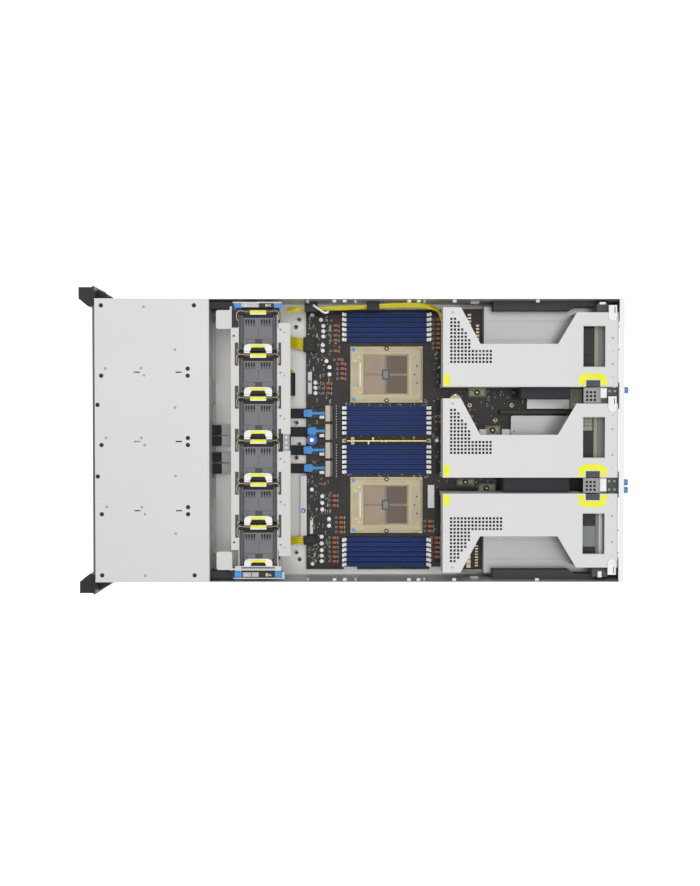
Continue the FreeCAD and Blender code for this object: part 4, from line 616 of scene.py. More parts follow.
class Bench:
    """The modelling bench: shapes made with the mesh tools, sizes in millimetres."""

    @staticmethod
    def clear() -> None:
        """Leaves nothing selected."""
        for item in bpy.context.selected_objects:
            item.select_set(False)

    @staticmethod
    def activate(piece: bpy.types.Object) -> None:
        """Selects one piece alone and makes it the active one."""
        Bench.clear()
        piece.select_set(True)
        bpy.context.view_layer.objects.active = piece

    @staticmethod
    def enter(kind: str) -> None:
        """Opens the active piece to pick its VERT, EDGE or FACE parts."""
        bpy.ops.object.mode_set(mode="EDIT")
        bpy.ops.mesh.select_mode(type=kind)

    @staticmethod
    def named(name: str) -> bpy.types.Object:
        """Takes the new primitive as a piece, with its place in its mesh.

        Args:
            name: what the piece is called.

        Returns:
            The piece.
        """
        piece = bpy.context.active_object
        piece.name = name
        piece.data.name = name
        bpy.ops.object.transform_apply(location=True, rotation=True, scale=True)
        return piece

    @staticmethod
    def edit(piece: bpy.types.Object) -> None:
        """Makes a piece active with nothing in its mesh selected."""
        Bench.activate(piece)
        bpy.ops.object.mode_set(mode="EDIT")
        bpy.ops.mesh.select_all(action="DESELECT")
        bpy.ops.object.mode_set(mode="OBJECT")

    @staticmethod
    def pick_faces(piece: bpy.types.Object, direction: Point, least: float = 0.9) -> None:
        """Selects the faces that look one way, and goes to face mode.

        Args:
            piece: the piece being edited.
            direction: the way they look.
            least: how closely they must look that way.
        """
        Bench.edit(piece)
        way = Vector(direction)
        for face in piece.data.polygons:
            face.select = face.normal.dot(way) > least
        Bench.enter("FACE")

    @staticmethod
    def done() -> None:
        """Closes the piece that is being edited."""
        bpy.ops.object.mode_set(mode="OBJECT")

    @staticmethod
    def block(name: str, low: Point, high: Point, rounded: float = 0.0, steps: int = 1,
              upright_only: bool = False) -> bpy.types.Object:
        """Makes a block with its edges broken.

        Args:
            name: what the piece is called.
            low: its lowest corner.
            high: its highest corner.
            rounded: how far the edges are rounded.
            steps: how many facets each rounding has.
            upright_only: rounds only the upright edges.

        Returns:
            The piece.
        """
        Bench.clear()
        lower, upper = Vector(low) * MM, Vector(high) * MM
        bpy.ops.mesh.primitive_cube_add(size=1, location=(lower + upper) / 2, scale=upper - lower)
        piece = Bench.named(name)
        if rounded > 0:
            Bench.edit(piece)
            for edge in piece.data.edges:
                start, end = (piece.data.vertices[v].co for v in edge.vertices)
                upright = abs((end - start).normalized().z) > 0.9
                edge.select = upright or not upright_only
            Bench.enter("EDGE")
            bpy.ops.mesh.bevel(offset=rounded * MM, segments=steps, affect="EDGES", clamp_overlap=True)
            Bench.done()
        return piece

    @staticmethod
    def disc(name: str, centre: Point, radius: float, height: float, axis: Axis = Axis.Z, sides: int = 24,
             rounded: float = 0.0) -> bpy.types.Object:
        """Makes a round part standing on a point, with its far rim broken.

        Args:
            name: what the piece is called.
            centre: the middle of its lower end.
            radius: its radius.
            height: how far it reaches along its axis.
            axis: the way it points.
            sides: how many sides it has.
            rounded: how far the far rim is rounded.

        Returns:
            The piece.
        """
        Bench.clear()
        middle = Vector(centre) + axis.way * height / 2
        bpy.ops.mesh.primitive_cylinder_add(vertices=sides, radius=radius * MM, depth=abs(height) * MM,
                                            location=middle * MM, rotation=axis.value)
        piece = Bench.named(name)
        if rounded > 0:
            Bench.pick_faces(piece, axis.way * math.copysign(1, height))
            bpy.ops.mesh.bevel(offset=rounded * MM, segments=2, affect="EDGES", clamp_overlap=True)
            Bench.done()
        return piece

    @staticmethod
    def sunk(piece: bpy.types.Object, direction: Point, margin: float, depth: float) -> bpy.types.Object:
        """Insets the faces that look one way and sinks or raises them.

        Args:
            piece: the piece to shape.
            direction: the way its face looks.
            margin: how wide the rim stays.
            depth: how deep the face goes, below 0 to raise it.

        Returns:
            The same piece.
        """
        Bench.pick_faces(piece, direction)
        bpy.ops.mesh.inset(thickness=margin * MM, depth=-depth * MM)
        Bench.done()
        return piece

    @staticmethod
    def outline(name: str, corners: list[tuple[float, float]], low: float, high: float, rounded: float = 0.0,
                steps: int = 3) -> bpy.types.Object:
        """Draws a flat outline point by point and raises it to a plate.

        Args:
            name: what the piece is called.
            corners: the outline's corners in X and Y.
            low: the plate's lower face.
            high: the plate's upper face.
            rounded: how far its corners are rounded.
            steps: how many facets each rounded corner has.

        Returns:
            The piece.
        """
        Bench.clear()
        points = [Vector((x, y, low)) * MM for x, y in corners]
        bpy.ops.mesh.primitive_plane_add(size=0.001, location=points[0])
        piece = Bench.named(name)
        Bench.enter("VERT")
        bpy.ops.mesh.select_all(action="SELECT")
        bpy.ops.mesh.merge(type="CENTER")
        for start, end in zip(points, points[1:]):
            bpy.ops.mesh.extrude_vertices_move(TRANSFORM_OT_translate={"value": end - start})
        bpy.ops.mesh.select_all(action="SELECT")
        bpy.ops.mesh.edge_face_add()
        if rounded > 0:
            bpy.ops.mesh.bevel(offset=rounded * MM, segments=steps, affect="VERTICES", clamp_overlap=True)
            bpy.ops.mesh.select_all(action="SELECT")
        bpy.ops.mesh.extrude_region_move(TRANSFORM_OT_translate={"value": (0, 0, (high - low) * MM)})
        bpy.ops.mesh.select_all(action="SELECT")
        bpy.ops.mesh.normals_make_consistent(inside=False)
        Bench.done()
        return piece

    @staticmethod
    def curve(name: str, kind: str, points: list[Point]) -> bpy.types.Object:
        """Draws a curve through or towards points.

        Args:
            name: what the curve is called.
            kind: POLY for a bent line, NURBS for a smooth one.
            points: its points.

        Returns:
            The curve.
        """
        data = bpy.data.curves.new(name, "CURVE")
        data.dimensions = "3D"
        spline = data.splines.new(kind)
        spline.points.add(len(points) - 1)
        for point, place in zip(spline.points, points):
            point.co = (*(Vector(place) * MM), 1.0)
        drawn = bpy.data.objects.new(name, data)
        bpy.context.scene.collection.objects.link(drawn)
        return drawn

    @staticmethod
    def band(name: str, path: list[Point], half_width: float, half_height: float, sides: int = 8,
             upright: bool = False) -> bpy.types.Object:
        """Bevels a smooth curve with a small round or flat section and makes it a mesh.

        Args:
            name: what the piece is called.
            path: the points that the curve is drawn towards.
            half_width: half of the section's size sideways.
            half_height: half of its size upwards.
            sides: how many sides the section has.
            upright: whether the path runs round in an upright plane, where no section can stay level.

        Returns:
            The piece, a closed mesh.
        """
        first = math.pi / 2 if upright else 0.0
        turns = [first + 2 * math.pi * step / sides for step in range(sides)]
        corners = [(math.cos(turn) * half_width, math.sin(turn) * half_height, 0) for turn in turns]
        section = Bench.curve(name + "_section", "POLY", corners)
        section.data.splines[0].use_cyclic_u = True
        piece = Bench.curve(name, "NURBS", path)
        spline = piece.data.splines[0]
        spline.order_u = 3
        spline.use_endpoint_u = True
        spline.resolution_u = 8
        piece.data.twist_mode = "MINIMUM" if upright else "Z_UP"
        piece.data.bevel_mode = "OBJECT"
        piece.data.bevel_object = section
        piece.data.use_fill_caps = True
        Bench.activate(piece)
        bpy.ops.object.convert(target="MESH")
        bpy.data.objects.remove(section)
        piece = bpy.context.active_object
        Bench.edit(piece)
        bpy.ops.object.mode_set(mode="EDIT")
        bpy.ops.mesh.select_all(action="SELECT")
        bpy.ops.mesh.remove_doubles(threshold=0.001 * MM)
        bpy.ops.mesh.normals_make_consistent(inside=False)
        Bench.done()
        return Bench.smooth(piece, 50)

    @staticmethod
    def smooth(piece: bpy.types.Object, angle: float = 35.0) -> bpy.types.Object:
        """Shades a piece smooth across its shallow edges."""
        Bench.activate(piece)
        bpy.ops.object.shade_smooth_by_angle(angle=math.radians(angle))
        return piece

    @staticmethod
    def copies(piece: bpy.types.Object, offsets: list[Point], keep: bool = False) -> list[bpy.types.Object]:
        """Copies a piece to other places, each copy with its own mesh.

        Args:
            piece: the piece to copy.
            offsets: how far each copy is moved.
            keep: keeps the first piece as well.

        Returns:
            The copies, after the first piece if it is kept.
        """
        made = [piece] if keep else []
        for offset in offsets:
            twin = piece.copy()
            twin.data = piece.data.copy()
            bpy.context.scene.collection.objects.link(twin)
            twin.data.transform(Matrix.Translation(Vector(offset) * MM))
            made.append(twin)
        if not keep:
            bpy.data.objects.remove(piece)
        return made

    @staticmethod
    def join(name: str, pieces: list[bpy.types.Object]) -> bpy.types.Object:
        """Joins pieces into one.

        Args:
            name: what the joined piece is called.
            pieces: the pieces.

        Returns:
            The joined piece.
        """
        Bench.clear()
        for piece in pieces:
            piece.select_set(True)
        bpy.context.view_layer.objects.active = pieces[0]
        if len(pieces) > 1:
            bpy.ops.object.join()
        pieces[0].name = name
        pieces[0].data.name = name
        return pieces[0]

    @staticmethod
    def unite(name: str, pieces: list[bpy.types.Object], finish: Finish, body: str = "chassis"
              ) -> bpy.types.Object:
        """Joins pieces into one and dresses it."""
        return Bench.dress(Bench.join(name, pieces), finish, body)

    @staticmethod
    def dress(piece: bpy.types.Object, finish: Finish, body: str = "chassis") -> bpy.types.Object:
        """Gives a piece its finish and lets it move with its body.

        Args:
            piece: the piece.
            finish: its finish.
            body: the body that carries it.

        Returns:
            The same piece.
        """
        piece.data.materials.clear()
        piece.data.materials.append(finish.build())
        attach(piece, body)
        LOG.info("%s rides on %s", piece.name, body)
        return piece


@dataclass
class Solids:
    """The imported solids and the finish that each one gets."""

    finishes: dict[str, Finish] = field(default_factory=lambda: {
        "chassis_tray": PALETTE.zinc, "rear_panel": PALETTE.panel, "drive_bay_cover": PALETTE.cover,
        "front_grille": PALETTE.shadow, "drive_cage": PALETTE.wall, "drive_backplane": PALETTE.card,
        "rack_ear": PALETTE.ear, "power_button": PALETTE.ear_grey, "drive_tray": PALETTE.black,
        "drive_lever": PALETTE.ear_grey, "fan_cage": PALETTE.cage, "fan_module": PALETTE.fan,
        "fan_rotor": PALETTE.rotor, "motherboard": PALETTE.board, "dimm_slots": PALETTE.slot_blue,
        "dimm_latches": PALETTE.white, "power_card": PALETTE.card, "cpu_sockets": PALETTE.tan,
        "socket_frame": PALETTE.tan, "board_parts": PALETTE.cream, "riser_cage": PALETTE.riser,
        "slot_lever": PALETTE.white, "power_supply": PALETTE.supply, "supply_latch": PALETTE.tab_blue,
        "air_baffles": PALETTE.foam, "signal_cables": PALETTE.ribbon, "power_cables": PALETTE.wire_yellow})

    def dress(self, nodes: dict[str, bpy.types.Object]) -> None:
        """Gives every solid its finish.

        Args:
            nodes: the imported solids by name.
        """
        for name, solid in nodes.items():
            finish = next(chosen for start, chosen in self.finishes.items() if name.startswith(start))
            for slot in solid.material_slots:
                slot.material = finish.build()
            LOG.info("%s is finished as %s", name, finish.name)


@dataclass
class Studio:
    """The plain floor, the soft light and the camera above the server."""

    camera_height: float = CAMERA_HEIGHT
    camera_x: float = FRONT_FACE + 401 - 1.64
    camera_y: float = 32.3
    tilt: float = -1.21
    focal_length: float = 55.95
    floor_colour: Colour = (0.93, 0.93, 0.93)

    def floor(self) -> None:
        """Lays the plain floor."""
        Bench.clear()
        bpy.ops.mesh.primitive_plane_add(size=9, location=(0, 0, -0.0006))
        floor = Bench.named("floor")
        shader = Shader("studio_floor")
        shader.finish(self.floor_colour, 0.9)
        shader.surface.inputs["Emission Color"].default_value = (1, 1, 1, 1)
        shader.surface.inputs["Emission Strength"].default_value = 0.75
        floor.data.materials.append(shader.material)

    def lamp(self, name: str, place: Point, size: float, power: float, target: Point) -> None:
        """Hangs one soft lamp.

        Args:
            name: what the lamp is called.
            place: where it hangs, in metres.
            size: how wide it is, in metres.
            power: its power in watts.
            target: the point it shines at.
        """
        data = bpy.data.lights.new(name, "AREA")
        data.shape = "SQUARE"
        data.size = size
        data.energy = power
        lamp = bpy.data.objects.new(name, data)
        lamp.location = place
        lamp.rotation_euler = (Vector(target) - Vector(place)).to_track_quat("-Z", "Y").to_euler()
        bpy.context.scene.collection.objects.link(lamp)

    def light(self) -> None:
        """Sets the even daylight of the studio and its soft lamps."""
        world = bpy.data.worlds.new("studio")
        world.use_nodes = True
        world.node_tree.nodes["Background"].inputs["Color"].default_value = (1, 1, 1, 1)
        world.node_tree.nodes["Background"].inputs["Strength"].default_value = 0.47
        bpy.context.scene.world = world
        self.lamp("overhead", (0.1, 0.25, 2.6), 2.2, 26, (0, 0, 0))
        self.lamp("left_fill", (-1.6, 0.9, 1.9), 1.2, 7, (0, 0, 0))
        self.lamp("right_fill", (1.6, -0.9, 1.9), 1.2, 7, (0, 0, 0))

    def camera(self) -> None:
        """Hangs the camera where the photograph was taken from."""
        data = bpy.data.cameras.new("camera")
        data.sensor_fit = "HORIZONTAL"
        data.sensor_width = 36
        data.lens = self.focal_length
        data.clip_end = 20
        camera = bpy.data.objects.new("camera", data)
        camera.location = Vector((self.camera_x, self.camera_y, self.camera_height)) * MM
        camera.rotation_euler = (math.radians(self.tilt), 0, 0)
        bpy.context.scene.collection.objects.link(camera)
        bpy.context.scene.camera = camera
        bpy.context.scene.view_settings.view_transform = "Standard"

    def build(self) -> None:
        """Sets up the whole studio."""
        self.floor()
        self.light()
        self.camera()


class Fixings:
    """Small parts that come back all over the server."""

    @staticmethod
    def screw(name: str, centre: Point, radius: float, height: float, axis: Axis = Axis.Z) -> bpy.types.Object:
        """Makes a screw head with a broken rim and a round recess.

        Args:
            name: what the piece is called.
            centre: the middle of its lower end.
            radius: its radius.
            height: how far it stands out.
            axis: the way it points.

        Returns:
            The piece.
        """
        head = Bench.disc(name, centre, radius, height, axis, 20, rounded=min(radius, height) * 0.3)
        Bench.sunk(head, tuple(axis.way), radius * 0.35, height * 0.5)
        return Bench.smooth(head)

    @staticmethod
    def row(piece: bpy.types.Object, name: str, spots: list[tuple[float, float]]) -> bpy.types.Object:
        """Copies a piece to the spots of a list and joins the copies.

        Args:
            piece: the piece, made for the first spot.
            name: what the joined piece is called.
            spots: the X and Y of each spot.

        Returns:
            The joined piece.
        """
        first = spots[0]
        offsets = [(x - first[0], y - first[1], 0) for x, y in spots[1:]]
        return Bench.join(name, Bench.copies(piece, offsets, keep=True))

    @staticmethod
    def blocks(name: str, boxes: list[tuple[Point, Point]], rounded: float, finish: Finish,
               body: str = "chassis") -> bpy.types.Object:
        """Makes some blocks with broken edges, joins them and dresses them.

        Args:
            name: what the joined piece is called.
            boxes: the lowest and highest corners of each block.
            rounded: how far their edges are rounded.
            finish: their finish.
            body: the body that carries them.

        Returns:
            The joined piece.
        """
        made = [Bench.block("%s_%d" % (name, number), low, high, rounded, 2)
                for number, (low, high) in enumerate(boxes)]
        return Bench.unite(name, made, finish, body)

    @staticmethod
    def screws(name: str, spots: list[tuple[float, float]], low: float, radius: float, height: float,
               finish: Finish, body: str = "chassis") -> bpy.types.Object:
        """Sets the same screw in each spot.

        Args:
            name: what the joined piece is called.
            spots: the X and Y of each screw.
            low: the height of the face that they sit on.
            radius: their radius.
            height: how far they stand out.
            finish: their finish.
            body: the body that carries them.

        Returns:
            The joined piece.
        """
        head = Fixings.screw(name, (*spots[0], low), radius, height)
        return Bench.dress(Fixings.row(head, name, spots), finish, body)


@dataclass
class BayCover:
    """What lies on the drive bay's cover: screws, dimples, punched circles and the folded rear edge."""

    top: float = 88.0
    side_screw_y: float = 211.0
    columns: tuple[float, ...] = (107.0, -1.3, -109.6)
    dimples: list[tuple[float, float]] = field(default_factory=lambda: [
        (105.6, 368.5), (141.3, 368.3), (144.2, 375.4), (175.2, 349.7), (175.2, 407.6), (106.1, 437.9),
        (141.3, 437.9), (144.6, 445), (175.5, 476.1), (106.5, 507.1), (141.5, 507.3), (144.6, 514.2),
        (175.5, 533.8), (144.7, 576.1), (144, 307)])
    circles: list[tuple[float, float]] = field(default_factory=lambda: [
        (96.9, 313.7), (97.4, 385.9), (97.6, 497.5), (98.5, 569.3)])
    hem_rows: list[tuple[float, float]] = field(default_factory=lambda: [
        (301.5, 311), (320, 350), (355, 386), (403, 436), (446, 482), (497, 527), (533, 565), (571, 580)])

    def screws(self) -> None:
        """Sets the countersunk screws."""
        spots = [(5, 56), (5, -56)]
        for sign in (1, -1):
            spots += [(11, sign * self.side_screw_y), (156, sign * self.side_screw_y)]
        for middle in self.columns:
            spots += [(11, middle - 5.5), (146, middle - 5.5), (146, middle + 5.5)]
        places = [(behind(distance), y) for distance, y in spots]
        Fixings.screws("cover_screws", places, self.top - 0.15, 3.4, 0.5, PALETTE.ear)

    def marks(self) -> None:
        """Presses the dimples and circles into the sheet."""
        places = [seen(column, row, self.top) for column, row in self.dimples]
        Fixings.screws("cover_dimples", places, self.top - 0.1, 2.2, 0.28, PALETTE.dimple)
        places = [seen(column, row, self.top) for column, row in self.circles]
        Fixings.screws("cover_circles", places, self.top - 0.1, 2.6, 0.22, PALETTE.riser)

    def hem(self) -> None:
        """Folds the strips of the rear edge over."""
        strips = [patch((202.6, 207.9), rows, self.top - 0.2, self.top + 0.32) for rows in self.hem_rows]
        Fixings.blocks("cover_hem", strips, 0.14, PALETTE.cover)

    def build(self) -> None:
        """Makes the cover's details."""
        self.screws()
        self.marks()
        self.hem()


@dataclass
class DriveFronts:
    """What shows on the drive trays and their levers from the front."""

    trays: int = 8
    proud: float = 0.35

    def tray(self, number: int) -> None:
        """Puts a wire screen over one tray's vents.

        Args:
            number: the tray's number.
        """
        body = "drive_tray_%d" % number
        low, high = box_mm(body)
        middle = (low.y + high.y) / 2
        face = behind(1.6)
        wires = []
        for step in range(7):
            y = middle - 5.4 + 1.8 * step
            wires.append(((face, y - 0.25, low.z + 12), (face + 0.5, y + 0.25, high.z - 4)))
        for step in range(12):
            z = low.z + 14 + 4.6 * step
            wires.append(((face - 0.1, middle - 5.6, z), (face + 0.4, middle + 5.6, z + 0.5)))
        Fixings.blocks("tray_screen_%d" % number, wires, 0.12, PALETTE.steel, body)

    def lever(self, number: int) -> None:
        """Gives one lever its thumb ridges and its release button.

        Args:
            number: the lever's number.
        """
        body = "drive_lever_%d" % number
        low, high = box_mm(body)
        middle = (low.y + high.y) / 2
        ridges = [((low.x - self.proud, middle - 4, z), (low.x + 0.4, middle + 4, z + 1.1))
                  for z in (high.z - 22, high.z - 19.5, high.z - 17, high.z - 14.5)]
        Fixings.blocks("lever_ridges_%d" % number, ridges, 0.2, PALETTE.black, body)
        button = ((low.x - self.proud, middle - 3, high.z - 10), (low.x + 0.4, middle + 3, high.z - 3.5))
        Fixings.blocks("lever_button_%d" % number, [button], 0.25, PALETTE.tab_blue, body)

    def build(self) -> None:
        """Dresses every tray and lever."""
        for number in range(1, self.trays + 1):
            self.tray(number)
            self.lever(number)


@dataclass
class Ears:
    """The grey face plates of the rack ears."""

    plate_width: float = 17.8
    edge: float = 2.2

    def build(self) -> None:
        """Sets a plate with a sunk field into each ear's front, below the button."""
        for side in Side:
            name = "rack_ear_" + side.name.lower()
            low, high = box_mm(name)
            rim = high.y if side is Side.LEFT else low.y
            reach = sorted((rim - side.value * self.edge, rim - side.value * (self.edge + self.plate_width)))
            plate = Bench.block(name + "_plate", (low.x - 0.3, reach[0], 16), (low.x + 0.8, reach[1], 50), 0.35, 2)
            Bench.dress(Bench.sunk(plate, (-1, 0, 0), 1.4, 0.3), PALETTE.ear_grey)


@dataclass
class SignalCables:
    """The four flat cables from the drive bay to the board, with their plugs, pull tabs and labels."""

    width: float = 16.0
    thickness: float = 2.2
    start: float = 132.0
    front_y: tuple[float, ...] = (16.0, -2.0, -28.0, -47.0)
    socket_y: tuple[float, ...] = (42.9, 12.9, -17.1, -47.1)
    floor: float = 2.8
    socket_height: float = 13.8

    def path(self, number: int) -> list[Point]:
        """Gives the line of one cable, from the bay's socket to the board's.

        Args:
            number: the cable's number.

        Returns:
            The points that the cable is drawn towards.
        """
        front, rear = self.front_y[number], self.socket_y[number]
        stations = [(self.start, front, 30), (self.start + 20, front, 30), (172, front, 30), (190, front, 18),
                    (208, front, self.floor), (234, front, self.floor), (258, (front + rear) / 2, self.floor),
                    (280, rear, self.floor), (304, rear, self.floor), (322, rear, 8),
                    (334, rear, self.socket_height), (352, rear, self.socket_height), (363, rear, self.socket_height)]
        return [(behind(distance), y, z) for distance, y, z in stations]

    def labels(self) -> None:
        """Wraps a bare label round each cable in the gap behind the bay."""
        made = []
        for number, y in enumerate(self.front_y):
            path = [(behind(distance), y, z) for distance, z in ((191, 18.6), (196, 14.2), (201, 9.6), (207, 5.2))]
            made.append(Bench.band("cable_label_%d" % number, path, self.width / 2 + 0.3, self.thickness / 2 + 0.7, 8))
        Bench.unite("cable_labels", made, PALETTE.white)

    def pulls(self) -> None:
        """Adds a blue pull tab with its stem and ring to each plug."""
        spots = [(308.1, 413.2, 42.9), (312, 430.9, 12.9), (308, 450, -17.1), (308.4, 468, -47.1)]
        pads, stems, rings = [], [], []
        for number, (column, row, _) in enumerate(spots):
            x, y = seen(column, row, self.socket_height + 4)
            pad = Bench.outline("pull_pad_%d" % number, [(x - 7, y - 5.5), (x + 5.5, y - 6.5), (x + 7.5, y - 2.4),
                                (x + 7.5, y + 2.4), (x + 5.5, y + 6.5), (x - 7, y + 5.5)], self.socket_height + 2,
                                self.socket_height + 4, 1.4)
            pads.append(Bench.smooth(pad))
            end = behind(358)
            stems.append(Bench.block("pull_stem_%d" % number, (x + 5, y - 2.3, self.socket_height + 2.2),
                                     (end, y + 2.3, self.socket_height + 3.8), 0.6, 2))
            rings.append(Fixings.screw("pull_ring_%d" % number, (end - 2, y, self.socket_height + 1.5), 3, 2.6))
        Bench.unite("cable_pulls", pads + stems + rings, PALETTE.tab_blue)

    def plugs(self) -> None:
        """Adds the plug shell and its clear wedge in front of each socket."""
        shells, wedges = [], []
        for y in self.socket_y:
            shells.append(((behind(348), y - 10.5, 10.2), (behind(361), y + 10.5, 17.2)))
            wedges.append(((behind(349.5), y - 8.5, 17.0), (behind(357.5), y - 3.5, 18.6)))
        Fixings.blocks("cable_plugs", shells, 0.7, PALETTE.chip)
        Fixings.blocks("cable_wedges", wedges, 0.6, PALETTE.label)

    def build(self) -> None:
        """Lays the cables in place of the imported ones."""
        made = [Bench.band("signal_cable_%d" % number, self.path(number), self.width / 2, self.thickness / 2, 12)
                for number in range(len(self.front_y))]
        cables = Bench.unite("signal_bundle", made, PALETTE.ribbon)
        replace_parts(cables, "signal_cables")
        self.labels()
        self.plugs()
        self.pulls()


@dataclass
class PowerCables:
    """The yellow leads to the board's front edge and the loom along the left wall."""

    strand: float = 1.5
    loom_strand: float = 1.45
    left_plug: float = 155.0
    right_plug: float = -164.0
    board_height: float = 14.8
    floor: float = 3.0
    loom_height: float = 52.0

    def lead(self, name: str, middle: float, strands: int, drift: float) -> list[bpy.types.Object]:
        """Lays the strands of one flat lead side by side.

        Args:
            name: what its strands are called.
            middle: the Y of the lead's middle.
            strands: how many strands it has.
            drift: how far its far end lies off the plug's line along Y.

        Returns:
            The strands.
        """
        made = []
        for number in range(strands):
            y = middle + (number - (strands - 1) / 2) * 3.1
            stations = [(274.6, drift, self.floor), (286, drift, self.floor), (296, 0.85 * drift, 5),
                        (306, 0.5 * drift, 10), (314, 0.2 * drift, self.board_height - 0.5),
                        (321, 0, self.board_height), (328, 0, self.board_height)]
            path = [(behind(distance), y + shift, z) for distance, shift, z in stations]
            made.append(Bench.band("%s_%d" % (name, number), path, self.strand, self.strand))
        return made

    def plug(self, name: str, middle: float, width: float) -> list[bpy.types.Object]:
        """Makes one plug with its latch.

        Args:
            name: what the plug is called.
            middle: the Y of its middle.
            width: how wide it is.

        Returns:
            The plug's shell and latch.
        """
        x = behind(323.7)
        half = width / 2
        shell = Bench.block(name, (x, middle - half, BOARD_TOP), (x + 20, middle + half, BOARD_TOP + 10), 0.7, 2)
        Bench.sunk(shell, (0, 0, 1), 1.6, 0.5)
        latch = Bench.block(name + "_latch", (x + 5, middle - 3, BOARD_TOP + 9.4), (x + 19, middle + 3, BOARD_TOP + 11),
                            0.5, 2)
        return [shell, latch]

    def loom(self) -> list[bpy.types.Object]:
        """Lays the loom's strands along the left wall, spread at both ends.

        Returns:
            The strands.
        """
        made = []
        for number in range(5):
            lift = 2.4 * (number - 2)
            start_y = 205 + 1.6 * number
            stations = [(299, start_y, self.loom_height - 14 - lift), (312, start_y + 1, self.loom_height - 4),
                        (326, 210.5 - 0.4 * number, self.loom_height + 0.5 * lift), (360, 208 + 0.8 * number,
                        self.loom_height + 0.6 * lift), (400, 209.2 + 0.9 * number, self.loom_height + 0.8 * lift),
                        (426, 211.5 + 0.6 * number, self.loom_height + 0.6 * lift),
                        (470, 213.2 + number, self.loom_height + lift), (510, 213.5 + number, self.loom_height + lift),
                        (536, 210 + 1.4 * number, self.loom_height - 10 - 2 * number),
                        (545 + number, 204 - number, 24), (546 + number, 198 - 2 * number, BOARD_TOP + 2)]
            path = [(behind(distance), y, z) for distance, y, z in stations]
            made.append(Bench.band("loom_strand_%d" % number, path, self.loom_strand, self.loom_strand))
        return made

    def build(self) -> None:
        """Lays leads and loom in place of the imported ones."""
        strands = self.lead("lead_left", self.left_plug, 6, 8) + self.lead("lead_right", self.right_plug, 4, -3)
        strands += self.loom()
        run = Bench.unite("yellow_wires", strands, PALETTE.wire_yellow)
        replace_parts(run, "power_cables")
        shells = self.plug("power_plug_left", self.left_plug, 24) + self.plug("power_plug_right", self.right_plug, 14)
        low, high = self.loom_height - 5.8, self.loom_height + 5.8
        shells.append(Bench.block("loom_sleeve", (behind(327), 203.5, low), (behind(348), 219.5, high), 1.6, 3))
        shells.append(Bench.block("loom_clip", (behind(426), 206.5, low), (behind(446), 220.8, high), 1.0, 2))
        Bench.unite("cable_shells", shells, PALETTE.sleeve)
        bends = ((313.2, 305.2), (319.5, 309.6), (326.4, 314.2), (328.6, 311.4))
        path = [(*seen(column, row, high + 3), high + 3) for column, row in bends]
        tie = Bench.band("loom_tie", path, 1.6, 0.7, 6)
        Bench.unite("loom_ties", [tie], PALETTE.white)


@dataclass
class FloorFittings:
    """Standoffs, brackets and loose leads on the chassis floor between the fans and the board."""

    floor: float = 1.2

    def standoffs(self) -> None:
        """Sets the pressed standoffs, some of them with a brass thread."""
        steel = [(299.5, 319.7), (296.6, 422.7), (299.5, 444.2), (296.4, 552.7), (299.5, 559.6)]
        brass = [(296.3, 327.1), (296.6, 457.7)]
        for name, rows, finish in (("steel", steel, PALETTE.nickel), ("brass", brass, PALETTE.brass)):
            spots = [seen(column, row, 6) for column, row in rows]
            Fixings.screws("standoffs_" + name, spots, self.floor, 3.4, 4.6, finish)
            # Painted shade: black discs in the standoffs' bores.
            Fixings.screws("standoff_bores_" + name, spots, self.floor + 4.5, 1.7, 0.3, PALETTE.ear)

    def plates(self) -> None:
        """Adds the light plate at the board's edge with its blue ringed screw, and the upright connector."""
        low, high = patch((300.2, 306.6), (475.7, 537), BOARD_TOP, BOARD_TOP + 1.6)
        Fixings.blocks("edge_plate", [(low, high)], 0.4, PALETTE.wall)
        spot = seen(303.3, 510.6, BOARD_TOP + 2)
        Fixings.screws("edge_plate_ring", [spot], BOARD_TOP + 1.4, 4.2, 1.4, PALETTE.tab_blue)
        Fixings.screws("edge_plate_screw", [spot], BOARD_TOP + 2.0, 2.4, 1.6, PALETTE.steel)
        low, high = patch((291, 295.2), (373, 395.6), 1.4, 12)
        plug = Bench.block("upright_plug", low, high, 0.7, 2)
        Bench.dress(Bench.sunk(plug, (0, 0, 1), 1.2, 1.0), PALETTE.chip)
        made = []
        for number in range(4):
            x, y = seen(289.5, 366.5 + number, 4)
            end = low[0] + 2 + number
            path = [(x - 3, y + 6, 3), (x, y, 4), (end, high[1] + 3, 7), (end, high[1] - 1, 9)]
            made.append(Bench.band("upright_wire_%d" % number, path, 0.8, 0.8, 6))
        Bench.unite("upright_wires", made, PALETTE.wire_yellow)

    def corner_wall_shade(self) -> None:
        """Sets black blocks beside both walls, behind the drive bay, as painted shade on the walls' inner faces."""
        # Painted shade: black blocks over the walls' inner faces.
        boxes = [patch((209.6, 233.6), (301.6, 309.4), 50, 76), patch((209.6, 233.6), (571.2, 579.6), 50, 76)]
        Fixings.blocks("corner_wall_shade", boxes, 1.2, PALETTE.black)

    def build(self) -> None:
        """Makes the fittings on the floor."""
        self.corner_wall_shade()
        self.standoffs()
        self.plates()


